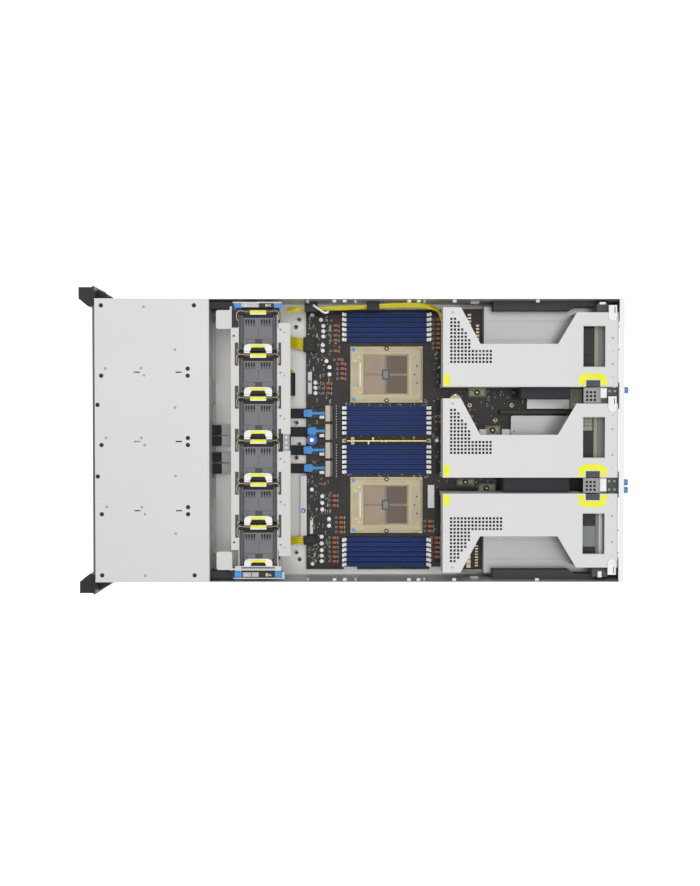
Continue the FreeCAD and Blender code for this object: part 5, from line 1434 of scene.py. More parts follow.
@dataclass
class FanTop:
    """What sits on top of one fan module: ribbed deck, posts, pull tab, arched grip and wire clip."""

    number: int
    top: float = 79.0
    post_radius: float = 2.3
    grip_top: float = 84.6
    tab_centre: float = 26.3
    foot: float = -34.6
    middle: Point = field(init=False)

    def __post_init__(self) -> None:
        """Finds the middle of the module's top."""
        low, high = box_mm(self.body)
        self.middle = ((low.x + high.x) / 2, (low.y + high.y) / 2, self.top)

    @property
    def body(self) -> str:
        """Names the body that carries the top."""
        return "fan_module_%d" % self.number

    def local(self, u: tuple[float, float], v: tuple[float, float], low: float, high: float) -> tuple[Point, Point]:
        """Gives a block's corners from distances along and across the module.

        Args:
            u: where it starts and ends along X, from the module's middle.
            v: where it starts and ends along Y, from the module's middle.
            low: the height of its lower face.
            high: the height of its upper face.

        Returns:
            The block's lowest and highest corners.
        """
        x, y, _ = self.middle
        return (x + u[0], y + v[0], low), (x + u[1], y + v[1], high)

    def deck(self) -> None:
        """Lays the grey deck with its ribs, its two rear fields and the seam between them, and near-black painted shade
        in its slots, in the grip's opening and between the modules.
        """
        top = self.top
        fields = [self.local((-22.5, 22.5), (-15, 15.5), top - 0.2, top + 0.35),
                  self.local((-23.5, -5), (-23, -15.6), top - 0.2, top + 0.6),
                  self.local((6.5, 23.5), (-23, -15.6), top - 0.2, top + 0.6),
                  self.local((-25, 25), (15.5, 18), top - 0.2, top + 0.9)]
        for start in (-18.8, 5.5):
            for step in range(5):
                u = start - 2.05 + 4.1 * step
                fields.append(self.local((u - 0.6, u + 0.6), (5.5, 16.5), top, top + 0.8))
        for sign in (-1, 1):
            fields.append(self.local((sign * 28 - 0.6, sign * 28 + 0.6), (-31, 22), top - 0.2, top + 0.7))
        Fixings.blocks("fan_deck_%d" % self.number, fields, 0.18, PALETTE.fan_deck, self.body)
        # Near-black blocks on the deck: painted shade in the slots between the ribs, in the grip's opening and in the
        # bands between the modules, a dark band beside the pull tab, and the real seam along the middle.
        slots = [self.local((start + 4.1 * step - 1.2, start + 4.1 * step + 1.2), (9.5, 16.6), top, top + 0.5)
                 for start in (-18.8, 5.5) for step in range(4)]
        slots += [self.local((start + 4.1 * step - 0.5, start + 4.1 * step + 0.5), (5.6, 9.8), top, top + 0.5)
                  for start in (-18.8, 5.5) for step in range(4)]
        slots.append(self.local((-12.6, 12.6), (self.foot, -28), top, 84.15))
        slots.append(self.local((0.2, 0.7), (-12, 4), top + 0.1, top + 0.4))
        slots.append(self.local((-23.5, 23.5), (18.2, 24.5), top - 0.1, top + 0.2))
        slots += [self.local(u, (22.6, 33), top, 84.3) for u in ((-33.2, -22.6), (22.6, 33.2))]
        Fixings.blocks("fan_slot_shade_and_seam_%d" % self.number, slots, 0.12, PALETTE.fan_dark, self.body)

    def posts(self) -> None:
        """Lays the two rounded posts along the module's front and rear edges."""
        x, y, z = self.middle
        made = []
        for sign in (-1, 1):
            for low, high in ((-24, 22.6), (-31.6, -24.8)):
                foot = (x + sign * 25.6, y + low, z)
                made.append(Bench.smooth(Bench.disc("fan_post", foot, self.post_radius, high - low, Axis.Y, 14, 0.6)))
        Bench.unite("fan_posts_%d" % self.number, made, PALETTE.fan_post, self.body)

    def tab(self) -> None:
        """Puts the white pull tab with its yellow face on the module."""
        v = (self.tab_centre - 3.45, self.tab_centre + 3.45)
        Fixings.blocks("fan_tab_%d" % self.number, [self.local((-12.7, 12.7), v, self.top, self.top + 3.25)], 0.5,
                       PALETTE.white, self.body)
        v = (self.tab_centre - 1.5, self.tab_centre + 3.0)
        Fixings.blocks("fan_tab_face_%d" % self.number, [self.local((-12.2, 12.2), v, self.top + 2.9, self.top + 3.5)],
                       0.25, PALETTE.yellow, self.body)

    def grip(self) -> None:
        """Shapes the arched grip, white with a yellow bar."""
        x, y, _ = self.middle
        outer = [(-22, self.foot), (-22, -28.4), (-20.4, -25), (-15.6, -23), (15.6, -23), (20.4, -25), (22, -28.4),
                 (22, self.foot)]
        inner = [(12.7, self.foot), (10.6, -29.4), (9.4, -28.6), (-9.4, -28.6), (-10.6, -29.4), (-12.7, self.foot)]
        arch = Bench.outline("fan_grip", [(x + u, y + v) for u, v in outer + inner], self.top, self.grip_top)
        Bench.pick_faces(arch, (0, 0, 1))
        bpy.ops.mesh.inset(thickness=0.6 * MM, depth=0.25 * MM)
        Bench.done()
        Bench.unite("fan_grip_%d" % self.number, [arch], PALETTE.white, self.body)
        bar = self.local((-12.2, 12.2), (-28.2, -24.2), self.grip_top - 0.2, self.grip_top + 0.5)
        Fixings.blocks("fan_grip_bar_%d" % self.number, [bar], 0.3, PALETTE.yellow, self.body)
        tips = [self.local((min(sign * 17.2, sign * 22), max(sign * 17.2, sign * 22)), (-29, -20.1), self.top, 84.2)
                for sign in (-1, 1)]
        Fixings.blocks("fan_grip_tips_%d" % self.number, tips, 0.5, PALETTE.fan_deck, self.body)
        if self.number > 1:
            rests = [self.local(u, (29.9, 32.5), self.top - 0.5, self.grip_top) for u in ((-22, -12.9), (12.9, 22))]
            Fixings.blocks("fan_grip_rests_%d" % self.number, rests, 0.3, PALETTE.white, self.body)

    def clip(self) -> None:
        """Bends the wire clip from the tab's ends round the module's edges."""
        x, y, z = self.middle
        made = []
        for sign in (-1, 1):
            bends = [(12, 27, 1.8), (15.5, 27.6, 3.4), (20, 27, 4.6), (24, 28.2, 6.4), (28.4, 28.6, 6.8),
                     (31.6, 27.2, 6.8), (33.4, 23, 6.7), (33.4, 17, 6.7), (31.6, 12.6, 6.7), (29.4, 14.4, 6.6)]
            made.append(Bench.band("fan_clip", [(x + sign * u, y + v, z + w) for u, v, w in bends], 0.9, 0.9, 8))
            hooks = [(29.2, 35.6, 6.4), (31.2, 37.6, 6.5), (32.8, 34.4, 6.6), (31.6, 30.6, 6.6), (28.6, 28.8, 6.6)]
            if self.number > 1:
                made.append(Bench.band("fan_hook", [(x + sign * u, y + v, z + w) for u, v, w in hooks], 0.7, 0.7, 8))
        Bench.unite("fan_clip_%d" % self.number, made, PALETTE.brass, self.body)

    def build(self) -> None:
        """Makes the module's top."""
        self.deck()
        self.posts()
        self.tab()
        self.grip()
        self.clip()


@dataclass
class FanFront:
    """The finger guard of one fan module, seen from the front."""

    number: int
    axis_height: float = 40.5
    wire: float = 0.6
    spoke_length: float = 30.0
    rings: tuple[float, ...] = (8.0, 15.0, 22.0, 28.0)

    def build(self) -> None:
        """Bends the guard's rings and spokes in front of the rotor."""
        body = "fan_module_%d" % self.number
        low, high = box_mm(body)
        y = (low.y + high.y) / 2
        made = []
        for radius in self.rings:
            circle = [(low.x - 0.2, y + radius * math.cos(turn), self.axis_height + radius * math.sin(turn))
                      for turn in (math.pi * step / 12 for step in range(25))]
            made.append(Bench.band("guard_ring", circle, self.wire, self.wire, 6, True))
        for turn in (math.pi / 4, -math.pi / 4):
            reach = Vector((0, math.cos(turn), math.sin(turn))) * self.spoke_length
            middle = Vector((low.x + 0.4, y, self.axis_height))
            made.append(Bench.band("guard_spoke", [tuple(middle - reach), tuple(middle), tuple(middle + reach)],
                                   self.wire, self.wire, 6, True))
        Bench.unite("fan_guard_%d" % self.number, made, PALETTE.steel, body)


@dataclass
class FanCage:
    """What sits on the fan cage: blue lifting pads, side strips with screws, and flange marks."""

    body: str = "fan_cage"
    rail_top: float = 84.2
    modules: int = 6
    module_rows: float = 43.1

    def pads(self) -> None:
        """Covers the four lifting pads in blue, and lays the rail's ledges and edges, with black patches of painted
        shadow in the gaps beside the flanges.
        """
        low, high = box_mm(self.body)
        boxes = []
        for start, end in ((218.2, 229.4), (281.4, 292.6)):
            for near, far in ((high.y - 8.7, high.y - 1.1), (low.y - 10.2, low.y - 0.8)):
                boxes.append(((behind(start), near, self.rail_top), (behind(end), far, self.rail_top + 1.75)))
        Fixings.blocks("lifting_pads", boxes, 0.6, PALETTE.tab_blue, self.body)
        # A black ledge along the rail, and three black patches on the flanges that are painted shadow in the gaps
        # there.
        ledges_and_shadow = [((behind(214), low.y - 10.8, self.rail_top - 1.2), (behind(294), low.y + 0.9, self.rail_top)),
                  patch((232, 238.9), (309.4, 327.4), self.rail_top - 0.3, self.rail_top + 0.2),
                  patch((232, 238.4), (303.2, 309.2), self.rail_top - 0.3, self.rail_top + 0.2),
                  patch((234, 277.2), (567.6, 569), self.rail_top - 0.3, self.rail_top + 0.2)]
        Fixings.blocks("rail_ledges_and_shadow", ledges_and_shadow, 0.1, PALETTE.ear, self.body)
        edges = [((behind(293), low.y - 11.8, self.rail_top - 1.2), (behind(296.5), low.y - 1.6, self.rail_top + 0.8)),
                 ((behind(216), high.y - 1, self.rail_top - 1.2), (behind(293), high.y + 0.9, self.rail_top + 0.5)),
                 ((behind(216), low.y - 12.6, self.rail_top - 1.2), (behind(296.5), low.y - 11, self.rail_top + 0.6)),
                 patch((232, 280), (568.8, 569.9), self.rail_top - 0.1, self.rail_top + 0.6)]
        Fixings.blocks("rail_edges", edges, 0.25, PALETTE.cage, self.body)

    def strips(self) -> None:
        """Lays the metal strip with its screws and the dark latch block between the pads."""
        low, high = box_mm(self.body)
        steel, dark, brass, screws = [], [], [], []
        for near, far in ((high.y - 7.6, high.y - 2), (low.y - 9.6, low.y - 2.4)):
            steel.append(((behind(231), near, self.rail_top), (behind(244), far, self.rail_top + 0.8)))
            steel.append(((behind(245), near, self.rail_top), (behind(256), far, self.rail_top + 0.8)))
            dark.append(((behind(257), near - 0.6, self.rail_top), (behind(280.5), far + 0.6, self.rail_top + 1.3)))
            brass.append(((behind(267), near + 1, self.rail_top + 1.0), (behind(271), far - 1, self.rail_top + 1.6)))
            screws += [(behind(237), (near + far) / 2), (behind(274), (near + far) / 2)]
        Fixings.blocks("rail_strips", steel, 0.25, PALETTE.zinc, self.body)
        Fixings.blocks("rail_latches", dark, 0.4, PALETTE.chip, self.body)
        Fixings.blocks("rail_contacts", brass, 0.2, PALETTE.brass, self.body)
        Fixings.screws("rail_screws", screws, self.rail_top + 0.7, 2.0, 0.9, PALETTE.steel, self.body)

    def flaps(self) -> None:
        """Adds the two white flaps at the cage's front corners with the arms that carry them."""
        made = []
        for number, rows in enumerate(((310.3, 329), (551.9, 570.3))):
            low, high = patch((216.3, 231.9), rows, self.rail_top - 1.2, self.rail_top)
            corners = [(low[0], low[1]), (high[0], low[1]), (high[0], high[1]), (low[0], high[1])]
            flap = Bench.outline("flap_%d" % number, corners, low[2], high[2], 3.4, 4)
            made.append(Bench.smooth(flap))
            reach = (high[1] - 2.4, 210) if number == 0 else (low[1] - 1, low[1] + 2.4)
            made.append(Bench.block("flap_arm_%d" % number, (high[0] - 3, min(reach), self.rail_top - 1.2),
                                    (behind(224), max(reach), self.rail_top - 0.1), 0.3, 2))
        Bench.unite("cage_flaps", made, PALETTE.cage, self.body)

    def notches(self) -> None:
        """Lines the openings in both flanges at each joint between two modules."""
        made = []
        for step in range(self.modules - 1):
            for columns in ((234.9, 238.6), (278.4, 281.2)):
                rows = (342.6 + 43.05 * step, 365.6 + 43.05 * step)
                made.append(patch(columns, rows, self.rail_top - 0.3, self.rail_top + 0.25))
        Fixings.blocks("flange_notches", made, 0.2, PALETTE.slate, self.body)

    def marks(self) -> None:
        """Adds the flanges' marks: black discs of painted shade in the holes, dimples, bare arrows, the rear hem and
        the screwed bracket.
        """
        top = self.rail_top
        # Painted shade: black discs in the two flange holes.
        spots = [seen(233.9, 336, top), seen(233.9, 542.5, top)]
        Fixings.screws("flange_hole_shade", spots, top - 0.1, 1.7, 0.25, PALETTE.ear, self.body)
        spots = [seen(284.4, 332.5 + self.module_rows * step, top) for step in range(self.modules)]
        Fixings.screws("flange_dimples", spots, top - 0.1, 1.5, 0.22, PALETTE.dimple, self.body)
        arrows = []
        for step in range(self.modules):
            x, y = seen(280.6, 329.6 + self.module_rows * step, top)
            corners = [(x - 2.4, y), (x, y + 2.4), (x, y + 0.9), (x + 2.2, y + 0.9), (x + 2.2, y - 0.9), (x, y - 0.9),
                       (x, y - 2.4)]
            arrows.append(Bench.outline("arrow", corners, top - 0.05, top + 0.1, 0.2, 1))
        Bench.unite("airflow_arrows", arrows, PALETTE.tab_blue, self.body)
        hems = [patch((289.2, 290.5), (323, 556.5), top - 1.4, top + 0.05)]
        hems += [patch((278.6, 289.4), rows, top - 1.2, top) for rows in ((323, 328.2), (550.2, 556.5))]
        Fixings.blocks("flange_hems", hems, 0.3, PALETTE.cage, self.body)
        Fixings.blocks("flange_bracket", [patch((283, 289.6), (434, 451), top - 0.1, top + 0.45)], 0.2, PALETTE.panel,
                       self.body)
        # Painted shade: black blocks in the gaps on both sides of the bracket.
        Fixings.blocks("flange_gap_shade", [patch((278.3, 283), (433.4, 451.6), top - 0.1, top + 0.35),
                                      patch((289.4, 290.9), (434, 451), top - 0.1, top + 0.35)], 0.1, PALETTE.ear,
                       self.body)
        x, y = seen(286.3, 442.5, top)
        Fixings.screws("flange_screws", [(x, y + 8), (x, y), (x, y - 8)], top + 0.35, 1.8, 0.5, PALETTE.steel,
                       self.body)

    def build(self) -> None:
        """Makes the cage's fittings and the tops of its six modules."""
        self.pads()
        self.strips()
        self.flaps()
        self.notches()
        self.marks()
        for number in range(1, self.modules + 1):
            FanTop(number).build()
            FanFront(number).build()


@dataclass
class BoardParts:
    """The parts soldered on the main board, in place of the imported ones."""

    capacitors: list[tuple[float, float, int, float]] = field(default_factory=lambda: [
        (-53.2, 195, 1, 0), (-49.2, 185, 3, -8.5), (-50.2, 154, 2, -9), (-44.2, 128, 1, 0), (-39.2, 118, 2, -11.5),
        (-62.2, 93, 3, -8.5), (-68.2, -81, 1, 0), (-51.2, -92, 3, -10.8), (-40.2, -129, 2, -11),
        (-52.2, -158, 2, -11), (-52.2, -180, 3, -9)])
    coils: list[tuple[float, float, int, float]] = field(default_factory=lambda: [
        (-29.2, 186, 4, -7.9), (-29.2, 145, 1, 0), (-23.2, 131, 1, 0), (-18.2, 124, 4, -8), (-41.2, 92, 3, -7.9),
        (137.8, 196, 7, -7.7), (142.8, 38, 2, -8.6), (-31.2, -91, 3, -7.9), (-20.2, -127, 4, -7.8),
        (-31.2, -160, 6, -7.7), (124.8, -133, 3, -7.9), (135.8, -160, 5, -7.8)])
    socket_y: tuple[float, ...] = (42.9, 12.9, -17.1, -47.1)
    riser_sockets: tuple[float, ...] = (89.3, -53.0, -88.0)
    knob: tuple[float, float] = (-67.7, 0.0)
    battery: tuple[float, float] = (165.8, 65.0)

    @staticmethod
    def spread(rows: list[tuple[float, float, int, float]]) -> list[tuple[float, float]]:
        """Gives the spot of every part in some short rows."""
        return [(x, y + step * number) for x, y, count, step in rows for number in range(count)]

    def cans(self) -> bpy.types.Object:
        """Stands the round capacitors on their square bases.

        Returns:
            The joined cans.
        """
        spots = self.spread(self.capacitors)
        x, y = spots[0]
        can = Bench.disc("can", (x, y, BOARD_TOP + 0.8), 3.5, 8.0, Axis.Z, 20, 0.5)
        cans = Bench.dress(Fixings.row(Bench.smooth(can), "capacitor_cans", spots), PALETTE.nickel)
        cap = Bench.disc("cap", (x, y, BOARD_TOP + 8.7), 2.9, 0.35, Axis.Z, 20, 0.12)
        Bench.dress(Fixings.row(Bench.smooth(cap), "capacitor_tops", spots), PALETTE.white)
        base = Bench.block("base", (x - 3.6, y - 3.6, BOARD_TOP), (x + 3.6, y + 3.6, BOARD_TOP + 1.2), 0.6, 1, True)
        Bench.dress(Fixings.row(base, "capacitor_bases", spots), PALETTE.chip)
        return cans

    def chokes(self) -> None:
        """Sets the orange coils with their tinned ends."""
        spots = self.spread(self.coils)
        x, y = spots[0]
        body = Bench.block("coil", (x - 3.1, y - 2.4, BOARD_TOP + 0.4), (x + 3.1, y + 2.4, BOARD_TOP + 6), 0.7, 2)
        Bench.sunk(body, (0, 0, 1), 0.8, 0.25)
        Bench.dress(Fixings.row(Bench.smooth(body), "coil_bodies", spots), PALETTE.orange)
        ends = Bench.block("coil_end", (x - 3.9, y - 2.2, BOARD_TOP), (x + 3.9, y + 2.2, BOARD_TOP + 4.6), 0.5, 1)
        Bench.dress(Fixings.row(ends, "coil_ends", spots), PALETTE.chip_grey)
        driver = Bench.block("driver", (x - 10.5, y - 2.4, BOARD_TOP), (x - 5.8, y + 2.2, BOARD_TOP + 1.1), 0.3, 1)
        Bench.dress(Fixings.row(driver, "coil_drivers", spots), PALETTE.chip_grey)
        marks = Bench.block("mark", (x + 5, y - 2.9, BOARD_TOP), (x + 5.8, y + 1.6, BOARD_TOP + 0.5), 0.1, 1)
        Bench.dress(Fixings.row(marks, "coil_marks", spots), PALETTE.label)

    def cable_sockets(self) -> None:
        """Sets the four cable sockets: cream housing, dark keeper and a row of pins."""
        housings, keepers, pins = [], [], []
        for y in self.socket_y:
            housing = Bench.block("housing", (-45.9, y - 13, BOARD_TOP), (-38.2, y + 13, BOARD_TOP + 8), 0.6, 2)
            housings.append(Bench.sunk(housing, (0, 0, 1), 1.1, 0.9))
            keepers.append(((-38.2, y - 12.4, BOARD_TOP), (-34.5, y + 12.4, BOARD_TOP + 6.4)))
            for step in range(9):
                place = y - 10.4 + 2.6 * step
                pins.append(((-43.6, place - 0.55, BOARD_TOP + 6.6), (-42.4, place + 0.55, BOARD_TOP + 8.1)))
        Bench.unite("cable_socket_housings", housings, PALETTE.cream)
        Fixings.blocks("cable_socket_keepers", keepers, 0.5, PALETTE.chip_grey)
        Fixings.blocks("cable_socket_pins", pins, 0.15, PALETTE.steel)

    def card_sockets(self) -> None:
        """Sets the long riser sockets with their grooves."""
        made = []
        for y in self.riser_sockets:
            body = Bench.block("card_socket", (169.6, y - 3.9, BOARD_TOP), (289.6, y + 3.9, BOARD_TOP + 7), 0.7, 2)
            made.append(Bench.sunk(body, (0, 0, 1), 2.9, 3.2))
        Bench.unite("riser_sockets", made, PALETTE.black)

    def round_parts(self) -> None:
        """Sets the pull knob with its screw, and the coin cell in its holder."""
        x, y = self.knob
        top = BOARD_TOP + 10.6
        rim = Bench.disc("knob_rim", (x, y, top - 4), 9.1, 4, Axis.Z, 36, 1.0)
        Bench.sunk(rim, (0, 0, 1), 2.6, 1.2)
        stem = Bench.disc("knob_stem", (x, y, BOARD_TOP), 4.1, 7, Axis.Z, 20, 0.3)
        Bench.unite("pull_knob", [Bench.smooth(rim), Bench.smooth(stem)], PALETTE.knob_blue)
        Bench.dress(Fixings.screw("pull_knob_screw", (x, y, top - 1.6), 3.6, 1.6), PALETTE.nickel)
        x, y = self.battery
        cell = Bench.disc("coin_cell", (x, y, BOARD_TOP + 1), 9.9, 3.6, Axis.Z, 36, 0.6)
        Bench.dress(Bench.smooth(Bench.sunk(cell, (0, 0, 1), 1.6, 0.25)), PALETTE.brass)
        holder = Bench.block("cell_holder", (x - 10, y - 10, BOARD_TOP), (x + 10, y + 10, BOARD_TOP + 2), 3.0, 3, True)
        Bench.dress(holder, PALETTE.chip)
        clips = [((x - 2, y + 6.5, BOARD_TOP + 1), (x + 2, y + 10, BOARD_TOP + 5)),
                 ((x - 2, y - 10, BOARD_TOP + 1), (x + 2, y - 6.5, BOARD_TOP + 5))]
        Fixings.blocks("cell_clips", clips, 0.5, PALETTE.nickel)

    def build(self) -> None:
        """Sets all the parts."""
        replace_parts(self.cans(), "board_parts")
        self.chokes()
        self.cable_sockets()
        self.card_sockets()
        self.round_parts()


@dataclass
class BoardTrim:
    """Chips, small parts, screws and bare labels on the main board."""

    seed: int = 17
    fields: list[tuple[float, float, float, float, int]] = field(default_factory=lambda: [
        (-74, 55, -36, 200, 110), (-74, -200, -36, -60, 110), (-32, 148, -20, 162, 5), (-20, 52, 128, 62, 26),
        (-20, -62, 128, -52, 26), (130, 60, 166, 148, 30), (130, -150, 166, -20, 34), (130, -20, 200, 50, 36),
        (170, 60, 300, 82, 26), (170, -80, 300, -58, 22), (215, -50, 330, 60, 40), (-12, -4, 118, 9, 12),
        (300, -120, 410, 120, 40), (168, 95, 205, 160, 10), (-74, -56, -50, -15, 8), (-74, 15, -50, 52, 8)])
    screw_rows: tuple[tuple[float, float], ...] = ((312.7, 315.8), (436.4, 440.2), (312.7, 563.7))

    def small_parts(self) -> None:
        """Scatters chips and tiny parts over the free fields of the board."""
        dice = random.Random(self.seed)
        made: dict[str, list[bpy.types.Object]] = {}
        weights = (3, 3, 8, 1)
        kinds = (("chips", PALETTE.chip_grey, 4.6, 3.4, 1.2), ("ceramics", PALETTE.tan_deep, 1.9, 1.1, 0.9),
                 ("resistors", PALETTE.solder, 1.7, 0.9, 0.6), ("cans_small", PALETTE.cream, 2.4, 1.8, 1.4))
        patterns = {name: Bench.block(name, (-length / 2, -width / 2, 0), (length / 2, width / 2, height), 0.18, 1)
                    for name, _, length, width, height in kinds}
        for low_x, low_y, high_x, high_y, count in self.fields:
            for _ in range(count):
                name = dice.choices([kind[0] for kind in kinds], weights)[0]
                spot = (dice.uniform(low_x, high_x), dice.uniform(low_y, high_y), BOARD_TOP - 0.05)
                repeats = dice.choice((1, 1, 2, 3)) if name != "chips" else 1
                offsets = [(spot[0], spot[1] + 2.3 * step, spot[2]) for step in range(repeats)]
                made.setdefault(name, []).extend(Bench.copies(patterns[name], offsets, keep=True)[1:])
        for name, finish, *_ in kinds:
            Bench.unite("board_" + name, made[name], finish)
            bpy.data.objects.remove(patterns[name])

    def screws(self) -> None:
        """Sets the pale screws that hold the board."""
        spots = [seen(column, row, BOARD_TOP + 2) for column, row in self.screw_rows]
        Fixings.screws("board_screws", spots, BOARD_TOP, 3.7, 2.2, PALETTE.steel)
        rings = [seen(column, row, BOARD_TOP) for column, row in ((469.6, 405.3), (511.8, 405.3), (495.3, 419.9))]
        Fixings.screws("board_rings", rings, BOARD_TOP - 0.1, 3.4, 0.7, PALETTE.brass)
        # Painted shade: black discs in the holes of the rings.
        Fixings.screws("ring_hole_shade", rings, BOARD_TOP + 0.5, 1.7, 0.25, PALETTE.ear)

    def labels(self) -> None:
        """Lays the bare label strips."""
        patches = [((308, 312), (372, 394)), ((310, 313), (518, 534)), ((428, 434.4), (485, 508))]
        boxes = [patch(columns, rows, BOARD_TOP, BOARD_TOP + 0.5) for columns, rows in patches]
        Fixings.blocks("board_labels", boxes, 0.15, PALETTE.label)

    def vias(self) -> None:
        """Punches the two dotted rows of plated holes behind the cable sockets."""
        rows = [first + 2.6 * step for first in (406, 445) for step in range(13)]
        spots = [seen(336.4, row, BOARD_TOP) for row in rows]
        Fixings.screws("plated_holes", spots, BOARD_TOP - 0.05, 0.75, 0.25, PALETTE.solder)

    def plates(self) -> None:
        """Sets the plates, headers and bars between the risers."""
        low, high = patch((511, 571), (415.7, 434.8), BOARD_TOP, 22)
        plate = Bench.block("large_plate", low, high, 2.6, 3, True)
        Bench.dress(Bench.smooth(plate), PALETTE.supply)
        # Painted shade: a black disc in the plate's hole.
        Fixings.screws("plate_hole_shade", [seen(513.9, 431.5, 22)], 21.9, 1.1, 0.25, PALETTE.ear)
        Fixings.blocks("shaded_plate", [patch((527, 569.5), (399, 409), BOARD_TOP, 18)], 0.8, PALETTE.wall)
        Fixings.blocks("shaded_end", [patch((569.8, 582), (388.4, 409), BOARD_TOP, 16)], 0.8, PALETTE.khaki)
        folds = [patch(columns, (399.2, 408.8), 17.8, 18.3) for columns in ((554.2, 555), (563, 563.6), (527, 529))]
        Fixings.blocks("plate_folds", folds, 0.15, PALETTE.wall)
        Fixings.blocks("black_bar", [patch((500, 572), (410, 414), BOARD_TOP, 26)], 0.8, PALETTE.chip)
        blocks = [patch(columns, (429.2, 434.8), BOARD_TOP, 15) for columns in ((479.5, 486.5), (502, 510.6))]
        Fixings.blocks("white_headers", blocks, 0.6, PALETTE.white)

    def clamps(self) -> None:
        """Sets the spring clamps between the risers: a bent plate with a dark mouth and a gold screw."""
        spots = [((468.2, 486.2), (387.8, 397.4)), ((485, 500.6), (425, 435.2)), ((456.6, 474.6), (478.4, 486)),
                 ((478, 495.6), (483, 493.4))]
        for number, (columns, rows) in enumerate(spots):
            low, high = patch(columns, rows, BOARD_TOP, 15)
            clamp = Bench.block("clamp_%d" % number, low, high, 1.8, 3, True)
            Bench.dress(Bench.sunk(clamp, (0, 0, 1), 2.8, 2.2), PALETTE.khaki)
            middle = ((low[0] + high[0]) / 2, (low[1] + high[1]) / 2)
            Fixings.screws("clamp_seat_%d" % number, [middle], 12.4, 4.9, 0.8, PALETTE.chip)
            Fixings.screws("clamp_screw_%d" % number, [middle], 13.1, 2.3, 1.6, PALETTE.gold)

    def contact_blocks(self) -> None:
        """Sets the dark blocks with gold contacts in front of the power supplies."""
        dark = [patch((460.5, 482.4), (309.6, 344), BOARD_TOP, 26), patch((460.5, 482.4), (535, 569.4), BOARD_TOP, 26)]
        Fixings.blocks("contact_blocks", dark, 0.7, PALETTE.chip)
        rims = [patch((482.3, 483.8), (309, 344), BOARD_TOP, 30), patch((482.3, 483.8), (535, 571), BOARD_TOP, 30),
                patch((461, 484), (306.6, 309.4), BOARD_TOP, 30), patch((461, 484), (569.6, 572.4), BOARD_TOP, 30)]
        Fixings.blocks("contact_rims", rims, 0.5, PALETTE.khaki)
        rows = [((467.2, 471), (314 + 3.3 * step, 316 + 3.3 * step)) for step in range(5)]
        rows += [((475.8, 479), (324.8 + 3.3 * step, 326.8 + 3.3 * step)) for step in range(5)]
        rows += [((475.2, 478.4), (545.4 + 2.8 * step, 547 + 2.8 * step)) for step in range(8)]
        rows += [((466.6, 471), (555.6 + 4.4 * step, 559.6 + 4.4 * step)) for step in range(3)]
        gold = [patch(columns, span, 25.8, 27) for columns, span in rows]
        Fixings.blocks("gold_contacts", gold, 0.25, PALETTE.brass)

    def build(self) -> None:
        """Adds everything."""
        self.small_parts()
        self.screws()
        self.labels()
        self.vias()
        self.plates()
        self.clamps()
        self.contact_blocks()


@dataclass
class Memory:
    """The contact lines in the memory slots and the parts on the upright card between the banks."""

    line: float = 1.0
    pitch: float = 8.1
    bank_slots: int = 6
    wall_margin: float = 3.1
    inner_bank: float = 51.85
    key_at: float = 68.0
    key_width: float = 2.4
    end_margin: float = 3.6

    def lines(self) -> None:
        """Lays the paler contact line along every slot, broken at the slot's key."""
        low, high = box_mm("dimm_slots")
        banks = (high.y - self.wall_margin, self.inner_bank)
        rows = [first - self.pitch * step for first in banks for step in range(self.bank_slots)]
        every = rows + [-y for y in rows]
        key, gap, half = low.x + self.key_at, self.key_width / 2, self.line / 2
        pair = [Bench.block("contact_line", (start, rows[0] - half, 13.5), (end, rows[0] + half, 16.9), 0.25, 1)
                for start, end in ((low.x + self.end_margin, key - gap), (key + gap, high.x - self.end_margin))]
        pair = Bench.join("contact_lines", pair)
        Bench.dress(Fixings.row(pair, "memory_lines", [(0, y) for y in every]), PALETTE.slot_line)
        ends = []
        for y in every:
            for start, end in ((low.x + 0.4, low.x + 3.2), (high.x - 3.2, high.x - 0.4)):
                ends.append(((start, y - 2.4, high.z - 0.2), (end, y + 2.4, high.z + 0.25)))
        Fixings.blocks("memory_slot_ends", ends, 0.2, PALETTE.slot_blue)

    def card(self) -> None:
        """Dresses the upright card: end blocks, gold edge, capacitors and small chips."""
        low, high = box_mm("power_card")
        y = (low.y + high.y) / 2
        ends = [((low.x - 0.2, y - 3.2, BOARD_TOP), (low.x + 6.5, y + 3.2, 20)),
                ((high.x - 6.5, y - 3.2, BOARD_TOP), (high.x + 0.2, y + 3.2, 20))]
        Fixings.blocks("card_ends", ends, 0.8, PALETTE.cream)
        edge = ((low.x + 8, y - 0.9, high.z - 1.2), (high.x - 8, y + 0.9, high.z + 0.2))
        Fixings.blocks("card_edge", [edge], 0.25, PALETTE.gold)
        lumps = [((low.x + 14, y + near, 18), (low.x + 20, y + near + 5.2, 27)) for near in (0.8, -6)]
        Fixings.blocks("card_sockets_small", lumps, 0.8, PALETTE.cream)
        chips = [((low.x + 60 + 9 * step, y + 0.7, 20), (low.x + 66 + 9 * step, y + 1.9, 27)) for step in range(7)]
        chips += [((low.x + 62 + 9 * step, y - 1.9, 20), (low.x + 68 + 9 * step, y - 0.7, 27)) for step in range(7)]
        Fixings.blocks("card_chips", chips, 0.3, PALETTE.chip_grey)
        cans = [Bench.disc("card_can", (x, y + side * 0.8, 24), 2.6, side * 5, Axis.Y, 18, 0.4)
                for x, side in ((24, -1), (31.5, 1))]
        Bench.dress(Bench.smooth(Bench.join("card_cans", cans)), PALETTE.nickel)
        blobs = [((43, y - 2.6, 24), (47, y + 1.4, 28)), ((50, y - 2.6, 24), (54, y + 1.4, 28))]
        Fixings.blocks("card_blobs", blobs, 1.1, PALETTE.gold)

    def build(self) -> None:
        """Adds the lines and the card's parts."""
        self.lines()
        self.card()


